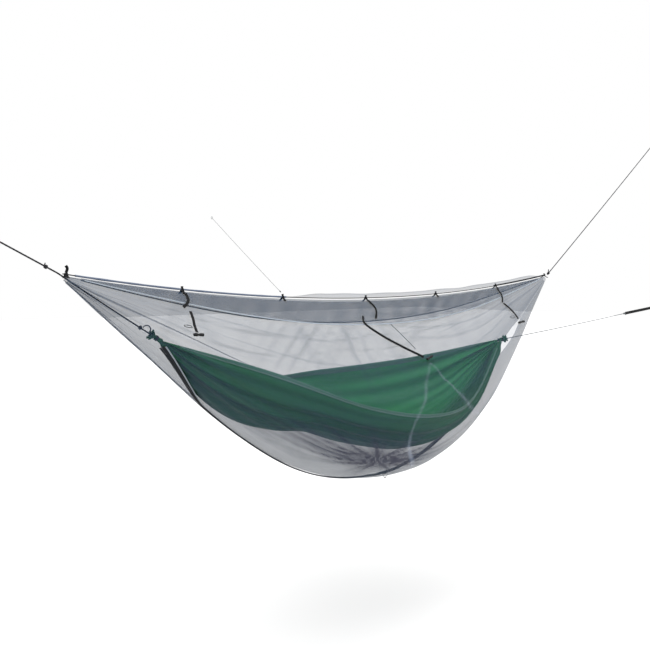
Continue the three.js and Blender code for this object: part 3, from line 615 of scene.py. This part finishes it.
def creases(x, t):
    """Tension creases from the middle toggle, 0 to 1, along which a highlight is painted."""
    total = np.zeros_like(x)
    place = np.stack([x, t], axis=-1) * [1.0, 1.15]
    for crease in CREASES:
        knots = np.array(crease) * [1.0, 1.15]
        for i, (start, end) in enumerate(zip(knots[:-1], knots[1:])):
            line = end - start
            s = np.clip((place - start) @ line / (line @ line), 0, 1)
            gap = np.linalg.norm(place - start - s[..., None] * line, axis=-1)
            total = np.maximum(total, np.exp(-(gap / (0.0035 + 0.003 * (i + s))) ** 2))
    return total


def swags(x, t):
    """Thin folds that hang in shallow arcs between two points of the ridge, 0 to 1."""
    total = np.zeros_like(x)
    for from_x, to_x, top, sag in SWAGS:
        s = np.clip((x - from_x) / (to_x - from_x), 0, 1)
        gap = t - top - sag * np.sin(math.pi * s) * (0.8 + 0.4 * s)
        width = 0.004 + 0.006 * s * (1 - s)
        fold = np.exp(-(gap / width) ** 2) * np.sin(math.pi * s) ** 0.5
        total = np.maximum(total, fold)
    return total


def drapes(x, t, seed):
    """Short upright folds between the third and fourth tabs, 0 to 1."""
    reach = smoothstep(t, 0.10, 0.18) * (1 - smoothstep(t, 0.30, 0.50))
    span = np.exp(-((x - 1.36) / 0.24) ** 2)
    return span * reach * np.clip(ripple(x + 0.08 * t, seed, 7, 14), 0, 1)


def tab_x(i):
    return min(max(RIDGE_LENGTH * i / (TAB_COUNT - 1), TAB_INSET), RIDGE_LENGTH - TAB_INSET)


def net_panel(name, side, rows, columns, seed):
    """One side of the net, from tip to tip and from the ridge to the bottom seam."""
    x = np.broadcast_to(np.linspace(NET_START, NET_END, rows)[:, None], (rows, columns))
    t = np.broadcast_to(np.linspace(0, 1, columns)[None, :], (rows, columns))
    fan, hang, bunch = tip_fan(x, t, seed), hanging_folds(x, t, seed + 2), bunching(x, t, seed + 3)
    swag, drape = swags(x, t), drapes(x, t, seed + 4)
    near_edges = smoothstep(t, 0, 0.05) * (1 - smoothstep(t, 0.93, 1))
    depth = 0.05 * net_width(x) * fan + 0.004 * (hang + drape) + 0.003 * swag - 0.006
    depth = (depth - 0.005 * bunch) * near_edges * (1 - 0.8 * smoothstep(x, 2.5, 2.75))
    height = NET_LAYER / 2 + np.clip(depth, DEEPEST_FOLD, 0.003)
    points = net_section(x, t, side) + height[..., None] * net_outward(x, t, side)
    low = smoothstep(t, 0.55, 0.9)
    sharp_fan = np.clip(fan, 0, 1) ** 2
    cover = 0.37 + 0.20 * sharp_fan + 0.06 * np.clip(hang, 0, 1) + 0.14 * np.maximum(swag, drape) + 0.13 * low
    cover = cover + (0.97 - cover) * bunch * (1 if side < 0 else 0.35)
    crease = creases(x, t) * (1 if side < 0 else 0)
    piece = sheet_piece(name, points, "net", "insect_mesh", [name])
    cover = cover + np.clip(0.5 - cover, 0, 1) * crease
    # Painted shade in the bunched gather (shade) and a painted highlight along the creases (gleam).
    paint(piece, cover=cover, shade=bunch * (1 - crease), gleam=0.6 * crease)
    return piece


def thin_cloth(name, points, cover, shade=0.0, gleam=0.0, replaces=()):
    """A narrow piece of the net's mesh, evenly shaded."""
    piece = sheet_piece(name, points, "net", "insect_mesh", replaces)
    even = np.ones(points.shape[:2])
    paint(piece, cover=cover * even, shade=shade * even, gleam=gleam * even)
    return piece


def ridge_band(name, side, seed):
    """The doubled cloth under the ridge, a little outside its panel."""
    rows, columns = 260, 14
    x = np.broadcast_to(np.linspace(0.095, RIDGE_LENGTH - 0.095, rows)[:, None], (rows, columns))
    t = np.broadcast_to(np.linspace(0.012, 0.13, columns)[None, :], (rows, columns))
    height = 0.0022 + 0.0012 * ripple(x, seed, 2, 7)
    points = on_net(x, t, 0, side) + height[..., None] * net_outward(x, t, side)
    cover = 0.34 + 0.07 * ripple(x + 0.4 * t, seed + 1, 3, 9)
    return thin_cloth(name, points, cover, 0.1, replaces=[name])


def band_seam(name, side):
    """A stitched tape along the lower edge of the doubled cloth."""
    x = np.linspace(0.1, RIDGE_LENGTH - 0.1, 240)
    points = on_net(x, 0.131, 0.0042, side)
    down = on_net(x, 0.14, 0.0042, side) - on_net(x, 0.122, 0.0042, side)
    return strip(name, points, down, 0.008, 0.0009, "net", "hem_tape", material=SEAM_TAPE)


CREST_START = 1.12  # just past the third tab
CREST_END = 3.24
CREST_HEIGHT = 0.021


def ridge_crest(name):
    """The doubled cloth that stands above the cord between the third tab and the right tip."""
    rows, columns = 220, 7
    x = np.linspace(CREST_START, CREST_END, rows)[:, None]
    s = np.linspace(0, 1, columns)[None, :]
    present = smoothstep(x, CREST_START, 1.35) * (1 - smoothstep(x, 3.08, CREST_END))
    rise = CREST_HEIGHT * present * (1 + 0.12 * ripple(x, 61, 1, 4))
    lean = 0.004 * ripple(x, 62, 1, 3) * s
    points = np.stack(np.broadcast_arrays(x, lean, ridge_z(x) + 0.0035 + rise * s), axis=-1)
    return thin_cloth(name, points, 0.38 + 0.12 * (s > 0.8))


def ridge_sleeve(name):
    """The cloth wrapped over the ridge cord from the left tip to the third tab."""
    rows, columns = 150, 12
    x = np.linspace(0.07, CREST_START, rows)[:, None]
    angle = np.linspace(-0.35 * math.pi, 1.35 * math.pi, columns)[None, :]
    radius = 0.0048 + 0.0006 * ripple(x, 63, 3, 9)
    height = ridge_z(x) + radius * np.sin(angle)
    points = np.stack(np.broadcast_arrays(x, radius * np.cos(angle), height), axis=-1)
    # gleam paints the sleeve lighter: a painted highlight
    return thin_cloth(name, points, 0.97, 0.0, gleam=0.4)


def ridge_tab(i):
    """A loop of webbing over the cord with two legs down the net, and an ear that stands up."""
    x = tab_x(i)
    slope = math.radians(64 if i in (0, TAB_COUNT - 1) else 50)
    leg = np.array([math.sin(slope), -math.cos(slope)])
    hip = np.array([0.0052, -0.0034])
    legs = [hip + leg * s for s in (0.026, 0.018, 0.009, 0.002)]
    arch = [(0.0054 * math.cos(a), 0.0054 * math.sin(a)) for a in np.linspace(-0.2, math.pi + 0.2, 9)]
    half = np.array(legs)
    other_half = half[::-1] * [-1, 1]
    path = np.vstack([half, arch, other_half])
    points = smooth_line([(x, y, ridge_z(x) + z) for y, z in path], 60)
    strip(f"ridge_tab_{i + 1}", points, X_AXIS, 0.014, 0.0013, "net", "black_webbing", [f"ridge_tab_{i + 1}"])
    ear_height = 0.036 if i == 0 else 0.013
    foot = np.array([x, 0, ridge_z(x) + 0.0062])
    bend = np.array([0.006 if i == 0 else 0.001, 0.0015, 0])
    ear = smooth_line([foot, foot + [0, 0, 0.5 * ear_height] + bend, foot + [0, 0, ear_height - 0.0062]], 14)
    strip(f"ridge_tab_ear_{i + 1}", ear, X_AXIS, 0.012, 0.0022, "net", "black_webbing")


def build_net():
    near = net_panel("net_near_panel", -1, 360, 112, 11)
    far = net_panel("net_far_panel", 1, 200, 60, 31)
    band_near = ridge_band("ridge_band_near", -1, 41)
    band_far = ridge_band("ridge_band_far", 1, 45)
    seam_near, seam_far = band_seam("band_seam_near", -1), band_seam("band_seam_far", 1)
    crest, sleeve = ridge_crest("ridge_crest"), ridge_sleeve("ridge_sleeve")
    x = np.linspace(0.02, RIDGE_LENGTH - 0.02, 400)
    middle = np.stack([x, 0 * x, ridge_z(x)], axis=1)
    rope("ridge_cord", middle, RIDGE_CORD_RADIUS, "net", "black_cord", ["ridge_cord"])
    doubled = x > 2.73
    over = np.stack([x, 0.0015 + 0 * x, ridge_z(x) + 0.0048], axis=1)[doubled]
    rope("ridge_cord_return", over, RIDGE_CORD_RADIUS, "net", "black_cord")
    for i in range(TAB_COUNT):
        ridge_tab(i)


# ---------------------------------------------------------------- ties and toggles

UPPER_TIES = [
    [(0.556, 0.030, 8), (0.550, 0.10, 9), (0.528, 0.15, 9), (0.505, 0.19, 8)],
    [(1.655, 0.012, 8), (1.674, 0.05, 10), (1.664, 0.08, 9), (1.640, 0.105, 8)],
    [(2.746, 0.03, 8), (2.752, 0.11, 10), (2.738, 0.16, 9), (2.722, 0.185, 8)],
]
LOWER_TIES = [
    [(0.530, 0.215, 8), (0.522, 0.29, 8), (0.508, 0.37, 8), (0.500, 0.44, 8)],
    [(1.560, 0.09, 8), (1.548, 0.13, 8), (1.630, 0.195, 8), (1.735, 0.255, 8), (1.838, 0.31, 8)],
    [(2.728, 0.2, 8), (2.752, 0.27, 8), (2.768, 0.35, 8), (2.772, 0.43, 8)],
]
LOWER_TIE_BODIES = ["free_tie_1", "net", "free_tie_3"]
TOGGLES = [((0.498, 0.470), 0.25), ((1.877, 0.320), 0.45), ((2.776, 0.480), 0.1)]
TIE_LOOPS = {1: (0.492, 0.395), 3: (2.756, 0.385)}


def tie(name, knots, body):
    """A flat tie; knots are (length, place on the net, height in millimetres)."""
    points = smooth_line([on_net(x, t, height / 1000) for x, t, height in knots], 60)
    facing = unit(np.array([0, -1, 0.35]))
    across = np.cross(facing, np.gradient(points, axis=0))
    strip(name, points, across, TIE_WIDTH, TIE_THICKNESS, body, "black_webbing", [name])


def toggle(number, place, lean):
    """A waisted bar with rounded ends and two grooves."""
    half = TOGGLE_LENGTH / 2
    r = TOGGLE_RADIUS
    outline = [(0.0002, -half), (0.0040, -half), (0.0060, -half + 0.0008), (r, -half + 0.0030), (r, -0.0180),
               (0.0062, -0.0172), (0.0062, -0.0158), (r, -0.0150), (r, -0.0078), (0.0050, -0.004),
               (0.0045, 0)]
    outline = outline + [(radius, -distance) for radius, distance in reversed(outline[:-1])]
    centre = on_net(*place, TOGGLE_HEIGHT)
    facing = net_outward(*place, -1)
    direction = np.array([1, 0, lean])
    direction = direction - facing * (direction @ facing)
    turned(f"toggle_{number}", outline, centre, direction, f"toggle_bar_{number}", "black_plastic",
           [f"toggle_{number}"])


def tie_loop(number, place, body):
    """An oval of thin cord beside the end of a free tie."""
    facing = net_outward(*place, -1)
    forward = unit(-X_AXIS + facing * (X_AXIS @ facing))
    side = np.cross(facing, forward)
    angle = np.linspace(0.3, 2 * math.pi - 0.3, 60)
    centre = on_net(*place, 0.008)
    points = (centre + 0.020 * (1 - np.cos(angle))[:, None] * forward + 0.008 * np.sin(angle)[:, None] * side)
    rope(f"tie_loop_{number}", points, 0.0015, body, "black_cord", [f"tie_loop_{number}"])


def build_ties():
    for i, knots in enumerate(UPPER_TIES):
        tie(f"upper_tie_{i + 1}", knots, "net")
    for i, knots in enumerate(LOWER_TIES):
        tie(f"lower_tie_{i + 1}", knots, LOWER_TIE_BODIES[i])
    for i, (place, lean) in enumerate(TOGGLES):
        toggle(i + 1, place, lean)
    for number, place in TIE_LOOPS.items():
        tie_loop(number, place, f"free_tie_{number}")
    inner = smooth_line([on_net(x, t, -0.009) for x, t in ((1.745, 0.125), (1.790, 0.19), (1.832, 0.26))], 60)
    rope("inner_tie_2", inner, 0.0015, "net", "black_cord", ["inner_tie_2"])


# ---------------------------------------------------------------- entry zip

ZIP_LEFT, ZIP_RIGHT, ZIP_SEAM_START = 0.372, 2.690, 0.640
ZIP_CLIMB = 0.27
ZIP_CLEARANCE = 0.0042
SLIDER_X = 1.8
STRAIGHT_HALF, STRAIGHT_EASE = 0.05, 0.07
CHAIN_OUT = 0.0029
TOOTH_PITCH = 0.004


def zip_line(x):
    """Centres of the zip, its outward directions and its across directions at lengths x."""
    t = 1 - ZIP_CLIMB * (np.maximum(ZIP_SEAM_START - x, 0) / (ZIP_SEAM_START - ZIP_LEFT)) ** 1.3
    points = on_net(x, t, ZIP_CLEARANCE)
    level = on_net(SLIDER_X + STRAIGHT_HALF * np.array([-1, 0, 1]), 1.0, ZIP_CLEARANCE)[:, 2]
    slope = (level[2] - level[0]) / (2 * STRAIGHT_HALF)
    straight_z = level[1] - 0.0008 + slope * (x - SLIDER_X)
    curved = smoothstep(np.abs(x - SLIDER_X) - STRAIGHT_HALF, 0, STRAIGHT_EASE)
    on_seam = smoothstep(x, ZIP_SEAM_START, ZIP_SEAM_START + 0.06)
    points[:, 1] *= 1 - on_seam
    points[:, 2] = straight_z + (points[:, 2] - straight_z) * curved
    tangents = unit(np.gradient(points, axis=0))
    out = net_outward(x, t, -1)
    out[:, 1] *= 1 - on_seam
    out = unit(out - tangents * np.sum(out * tangents, axis=1, keepdims=True))
    return points, out, unit(np.cross(out, tangents))


def zip_teeth(points, out, across):
    """One small block per tooth, the two rows meshing in the middle."""
    places = along(points)
    at = np.arange(0.004, places[-1] - 0.004, TOOTH_PITCH)
    take = lambda field: np.stack([np.interp(at, places, field[:, k]) for k in range(3)], axis=1)
    centre, up, wide = take(points + CHAIN_OUT * out), take(out), take(across)
    ahead = unit(np.gradient(centre, axis=0))
    row = np.where(np.arange(len(at)) % 2, 1, -1)[:, None] * 0.0009
    corners = [(a, b, c) for a in (-1, 1) for b in (-1, 1) for c in (-1, 1)]
    vertices = np.stack([centre + row * wide + 0.0013 * a * ahead + 0.0021 * b * wide + 0.0012 * c * up
                         for a, b, c in corners], axis=1)
    block = np.array([(0, 1, 3, 2), (4, 6, 7, 5), (0, 4, 5, 1), (2, 3, 7, 6), (0, 2, 6, 4), (1, 5, 7, 3)])
    faces = (np.arange(len(at))[:, None, None] * 8 + block[None]).reshape(-1, 4)
    flat = vertices.reshape(-1, 3)
    piece = finish_piece("zip_teeth", flat, faces, flat[:, :2], "net", "black_plastic")
    piece.data.polygons.foreach_set("use_smooth", [False] * len(piece.data.polygons))


def build_zip():
    x = np.linspace(ZIP_LEFT, ZIP_RIGHT, 420)
    points, out, across = zip_line(x)
    for name, side in (("zip_tape_near", 1), ("zip_tape_far", -1)):
        strip(name, points + side * 0.006 * across, across, 0.011, 0.001, "net", "zip_tape", [name])
    strip("zip_chain", points + CHAIN_OUT * out, across, 0.0052, 0.0014, "net", "zip_tape", ["zip_chain"])
    zip_teeth(points, out, across)
    rope("zip_edge_piping", points + 0.0150 * across, 0.0036, "net", "black_cord")
    left = x < 1.6
    zip_edge = (points + 0.0245 * across - 0.0008 * out)[left]
    strip("zip_edge_tape", zip_edge, across[left], 0.009, 0.0009, "net", "hem_tape", material=SEAM_TAPE)
    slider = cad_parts["zip_slider"]
    slider.data.materials.clear()
    slider.data.materials.append(PLASTIC)
    pull_cord()


def pull_cord():
    """The loop of cord through the slider's ring, tied at the bottom."""
    low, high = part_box("zip_pull_cord")
    centre = np.array([(low.x + high.x) / 2, (low.y + high.y) / 2, high.z - 0.0014]) - TIP
    outline = [(0, 0), (0.013, 0), (0.0165, -0.009), (0.011, -0.0215), (0, -0.0275)]
    knots = outline[::-1] + [(-x, z) for x, z in outline[1:]]
    points = smooth_line([centre + [x, 0, z] for x, z in knots], 80)
    rope("zip_pull_cord", points, PULL_CORD_RADIUS, "zip_pull", "black_cord", ["zip_pull_cord"])
    knot_at = centre + [-0.005, 0, -0.0262]
    coil("zip_pull_knot", knot_at, X_AXIS, PULL_CORD_RADIUS, 0.0011, 0.010, "zip_pull", "black_cord")


# ---------------------------------------------------------------- bed

HEM_SHARE = 0.022  # of the way from one edge under the belly to the other
HEM_INSET = 0.03
PLEAT_DEPTH = 0.018  # at the gathered ends
PLEAT_DEPTH_MIDDLE = 0.0024
PLEAT_REACH = 0.26  # share of the bed over which the pleats ease out


def bed_point(u, v):
    """Points of the bed: u from right end to left, v from the near edge under the belly to the far."""
    u, v = np.broadcast_arrays(np.asarray(u, float), np.asarray(v, float))
    x = BED_RIGHT[0] + (BED_LEFT[0] - BED_RIGHT[0]) * u
    near = v < 0.5
    half_width = GATHER_RADIUS + np.sin(math.pi * u) * np.where(near, BED_NEAR_HALF_WIDTH, BED_FAR_HALF_WIDTH)
    edge = np.where(near, profile(BED_NEAR_EDGE, x), profile(BED_FAR_EDGE, x))
    bottom = profile(BED_BOTTOM, x)
    s = 1 - np.abs(2 * v - 1)
    across = (1 - s) ** 3 + 3 * (1 - s) ** 2 * s * 1.05 + 3 * (1 - s) * s ** 2 * 0.6
    knee = edge + 0.6 * (bottom - edge)
    z = (1 - s) ** 3 * edge + 3 * (1 - s) ** 2 * s * knee + 3 * (1 - s) * s ** 2 * bottom + s ** 3 * bottom
    return np.stack([x, np.where(near, -1, 1) * across * half_width, z], axis=-1)


def bed_surface(u, v, offset):
    """Points of the bed moved outwards by offset."""
    step = 1e-3
    forward = bed_point(np.minimum(u + step, 1), v) - bed_point(np.maximum(u - step, 0), v)
    across = bed_point(u, np.minimum(v + step, 1)) - bed_point(u, np.maximum(v - step, 0))
    outward = unit(np.cross(forward, across))
    return bed_point(u, v) + np.asarray(offset)[..., None] * outward


def bed_pleats(u, v):
    """Pleats run from the gathered ends and ease out towards the middle, in metres."""
    closed = 1 - np.sin(math.pi * u)
    from_end = np.minimum(u, 1 - u)
    ends = np.exp(-from_end / PLEAT_REACH)
    inside = smoothstep(v, 0, 0.05) * (1 - smoothstep(v, 0.95, 1))
    wander = v + 0.02 * np.sin(2 * math.pi * u)
    depth = PLEAT_DEPTH_MIDDLE + PLEAT_DEPTH * ends * smoothstep(from_end, 0, 0.03)
    deep = ripple(wander, 71, 9, 17) * depth
    soft = ripple(wander, 72, 2, 5) * 0.006 * smoothstep(closed, 0.1, 0.8)
    cross = 0.0022 * ripple(u + 0.15 * v, 73, 4, 9) * np.sin(math.pi * v)
    return (deep + soft + cross) * inside


def bed_light(u, v):
    """Painted light: where the far side is painted lighter as if daylight shone through the thin cloth, 0 to
    1.
    """
    streaks = 0.8 + 0.2 * ripple(v + 0.06 * u, 74, 8, 20)
    return 0.55 * smoothstep(v, 0.50, 0.72) * streaks + 0.08 * smoothstep(0.5 - v, 0.25, 0.5)


def folded_hem(name, edge_v, inward, replaces):
    """The folded edge of the bed: cloth turned over the edge and stitched on both faces."""
    rows = 240
    u = np.linspace(HEM_INSET, 1 - HEM_INSET, rows)[:, None]
    share = HEM_SHARE * np.array([1, 0.66, 0.33, 0.04, 0.0, 0.04, 0.33, 0.66, 1])
    side = 0.0034 * np.array([1, 1, 1, 0.9, 0, -0.9, -1, -1, -1])
    v = edge_v + inward * share[None, :]
    offset = np.broadcast_to(0.0012 + side[None, :], (rows, len(side)))
    points = bed_surface(np.broadcast_to(u, offset.shape), np.broadcast_to(v, offset.shape), offset)
    return sheet_piece(name, points, "hammock", "hem_tape", replaces)


def gather(name, start, direction, seed):
    """Bunched cloth: a pleated neck and the frill of cloth that stands beyond the whipping."""
    direction = unit(direction)
    side, other = frames(np.array([start, start + direction]), np.array([0.3, 1.0, 0.2]))
    rows, columns = 40, 120
    s = np.linspace(0, 1, rows)[:, None]
    angle = ring_angles(columns)[None, :]
    distance = -0.004 + 0.064 * s
    radius = np.interp(distance, [-0.004, 0.004, 0.016, 0.038, 0.048, 0.060],
                       [0.0105, 0.0105, 0.0088, 0.0088, 0.0150, 0.0215])
    frill = smoothstep(distance, 0.036, 0.060)
    pleats = np.cos(13 * angle + 0.8 * np.sin(3 * angle + seed))
    radius = radius * (1 + (0.05 + 0.22 * frill) * pleats)
    distance = distance + frill * 0.005 * np.sin(4 * angle + seed)
    points = (start + distance[..., None] * direction + (radius * np.cos(angle))[..., None] * side[0]
              + (radius * np.sin(angle))[..., None] * other[0])
    return sheet_piece(name, points, "hammock", "bed_nylon", [name], wrap=True)


def build_bed():
    rows, columns = 250, 130
    u = np.broadcast_to(np.linspace(0, 1, rows)[:, None], (rows, columns))
    v = np.broadcast_to(np.linspace(0, 1, columns)[None, :], (rows, columns))
    points = bed_surface(u, v, 0.0012 + bed_pleats(u, v))
    bed = sheet_piece("hammock_bed", points, "hammock", "bed_nylon", ["hammock_bed"])
    # lit paints light onto the bed, mostly its far half.
    paint(bed, lit=bed_light(u, v))
    near_hem = folded_hem("near_edge_hem", 0, 1, ["near_edge_hem"])
    far_hem = folded_hem("far_edge_hem", 1, -1, ["far_edge_hem"])
    left = gather("left_gather", BED_LEFT, TIP_LEFT - BED_LEFT, 1.0)
    right = gather("right_gather", BED_RIGHT, STRAP_END - BED_RIGHT, 2.4)
    whippings = (("left_whipping", BED_LEFT, TIP_LEFT), ("right_whipping", BED_RIGHT, STRAP_END))
    for name, start, towards in whippings:
        direction = unit(towards - start)
        coil(name, start + 0.018 * direction, direction, 0.009, 0.002, 0.016, "hammock", "black_cord", [name])


# ---------------------------------------------------------------- cords and knots


def build_suspension():
    """The rope from the left eye to the net's tip."""
    up = unit(LEFT_EYE - TIP_LEFT)
    edge = LEFT_EYE - 0.0222 * up
    ring = eye("left_suspension_eye", LEFT_EYE, 0.018, ROPE_RADIUS, "rigging", "black_cord",
               ["left_suspension_eye"], math.atan2(-up[2], -up[0]))
    line = straight_line(TIP_LEFT, edge, 40)
    made = rope("left_suspension_rope", line, ROPE_RADIUS, "rigging", "black_cord",
                ["left_suspension_rope"])
    splice = coil("left_eye_splice", edge - 0.027 * up, up, ROPE_RADIUS, 0.0015, 0.024, "rigging",
                  "black_cord", ["left_eye_splice"])
    stopper = coil("left_stopper_knot", 0.044 * up, up, ROPE_RADIUS, 0.0024, 0.0150, "rigging",
                   "black_cord", ["left_stopper_knot"], swell=0.001, tail=(0.004, -0.004, 0.016))


def build_inner_rope():
    """The rope from the bed's left end to the net's tip, with its knot and bight."""
    direction = unit(TIP_LEFT - BED_LEFT)
    start = BED_LEFT + NECK_LENGTH * direction
    line = straight_line(start, TIP_LEFT - 0.0012 * direction, 80, 0.003)
    made = rope("left_inner_rope", line, ROPE_RADIUS, "hammock", "black_cord", ["left_inner_rope"])
    knot_at = start + 0.066 * direction
    knot = coil("left_end_knot", knot_at, direction, ROPE_RADIUS, 0.0025, 0.016, "hammock",
                "black_cord", ["left_end_knot"], swell=0.001)
    strand = crossing_strand("left_end_knot_strand", knot_at, direction, ROPE_RADIUS, 0.0025, 0.016,
                             "hammock", "black_cord")
    rise = np.cross(Y_AXIS, direction)
    angle = np.linspace(0, math.pi, 30)
    foot = knot_at - 0.0035 * direction + 0.0063 * rise
    arch = foot - 0.019 * (1 - np.cos(angle))[:, None] * direction + 0.020 * np.sin(angle)[:, None] * rise
    bight, _ = rope("left_end_bight", arch, BIGHT_RADIUS, "hammock", "black_cord", ["left_end_bight"])


def build_right_rope():
    """The thin grey rope from the bed's right end to the tree strap."""
    direction = unit(STRAP_END - BED_RIGHT)
    start = BED_RIGHT + NECK_LENGTH * direction
    line = straight_line(start, STRAP_START, 120, 0.004)
    made = rope("right_rope", line, RIGHT_ROPE_RADIUS, "hammock", "grey_cord", ["right_rope"])
    strap = unit(STRAP_END - STRAP_START)
    knot_at = STRAP_START - 0.020 * strap
    knot = coil("rope_to_strap_knot", knot_at, strap, RIGHT_ROPE_RADIUS, 0.0025, 0.018, "hammock",
                "grey_cord", ["rope_to_strap_knot"], tail=(0.010, -0.003, -0.008))


def build_tree_strap():
    """The webbing strap beyond the grey rope, with the loop sewn in its end."""
    strap = unit(STRAP_END - STRAP_START)
    across = np.cross(strap, Y_AXIS)
    line = straight_line(STRAP_START + 0.0013 * strap, STRAP_END, 60)
    strip("tree_strap", line, across, STRAP_WIDTH, STRAP_THICKNESS, "hammock", "black_webbing",
          ["tree_strap"])
    angle = np.linspace(0.03, 2 * math.pi - 0.03, 60) + math.atan2(-strap[2], -strap[0])
    around = np.stack([np.cos(angle), 0 * angle, np.sin(angle)], axis=1)
    loop = STRAP_END + 0.0206 * strap + 0.019 * around
    strip("tree_strap_loop", loop, Y_AXIS, STRAP_WIDTH, STRAP_THICKNESS, "hammock", "black_webbing",
          ["tree_strap_loop"])


def build_right_guy():
    direction = unit(GUY_END - TIP_RIGHT)
    line = straight_line(TIP_RIGHT + 0.0012 * direction, GUY_END, 120, 0.004)
    made = rope("right_guy_cord", line, GUY_RADIUS, "rigging", "black_cord", ["right_guy_cord"])
    knot = coil("right_tip_knot", TIP_RIGHT + 0.008 * direction, direction, GUY_RADIUS, 0.003, 0.018,
                "rigging", "black_cord", ["right_tip_knot"], tail=(-0.004, -0.003, 0.018))
    ring = eye("right_guy_end_loop", GUY_END + 0.0177 * direction, 0.014, GUY_RADIUS, "rigging",
               "black_cord", ["right_guy_end_loop"], math.atan2(-direction[2], -direction[0]))


def build_back_guyline():
    """The thin guyline from the third ridge tab to the far side."""
    tab = tab_x(2)
    tab_top = np.array([tab, 0, ridge_z(tab) + 0.014])
    direction = unit(BACK_GUY_END - tab_top)
    start = tab_top + 0.016 * direction
    line = straight_line(start, BACK_GUY_END, 100, 0.002)
    made = rope("back_guyline", line, BACK_GUY_RADIUS, "rigging", "grey_cord", ["back_guyline"], sides=8)
    knot = coil("back_guyline_knot", start + 0.003 * direction, direction, BACK_GUY_RADIUS, 0.0012,
                0.009, "rigging", "grey_cord", ["back_guyline_knot"])
    ring = eye("back_guyline_loop", BACK_GUY_END + 0.0083 * direction, 0.007, BACK_GUY_RADIUS, "rigging",
               "grey_cord", ["back_guyline_loop"], math.atan2(-direction[2], -direction[1]), (1, 0, 0))


# ---------------------------------------------------------------- studio

LENS = 38.87
SENSOR_WIDTH = 36
CAMERA_PLACE = (-0.611, -2.931, -0.1623)
CAMERA_TILT = 86.095
CAMERA_TURN = -37.40


def build_camera():
    data = bpy.data.cameras.new("camera")
    data.lens = LENS
    data.sensor_width = SENSOR_WIDTH
    camera = bpy.data.objects.new("camera", data)
    camera.location = CAMERA_PLACE
    camera.rotation_euler = (math.radians(CAMERA_TILT), 0, math.radians(CAMERA_TURN))
    bpy.context.scene.collection.objects.link(camera)
    bpy.context.scene.camera = camera


def build_studio():
    world = bpy.data.worlds.new("studio")
    world.use_nodes = True
    world.node_tree.nodes["Background"].inputs["Color"].default_value = (1, 1, 1, 1)
    world.node_tree.nodes["Background"].inputs["Strength"].default_value = 1.0
    bpy.context.scene.world = world
    sun = bpy.data.lights.new("softbox", "SUN")
    sun.energy = 4.4
    sun.angle = math.radians(80)
    lamp = bpy.data.objects.new("softbox", sun)
    lamp.rotation_euler = (math.radians(20), math.radians(-14), 0)
    bpy.context.scene.collection.objects.link(lamp)
    bpy.ops.mesh.primitive_plane_add(size=60, location=(2.5, 0, FLOOR_Z))
    floor = bpy.context.object
    floor.name = "floor"
    floor.data.materials.append(studio_floor())
    bpy.context.scene.view_settings.view_transform = "Standard"


build_camera()
build_studio()
build_suspension()
build_inner_rope()
build_right_rope()
build_tree_strap()
build_right_guy()
build_back_guyline()
build_net()
build_ties()
build_zip()
build_bed()
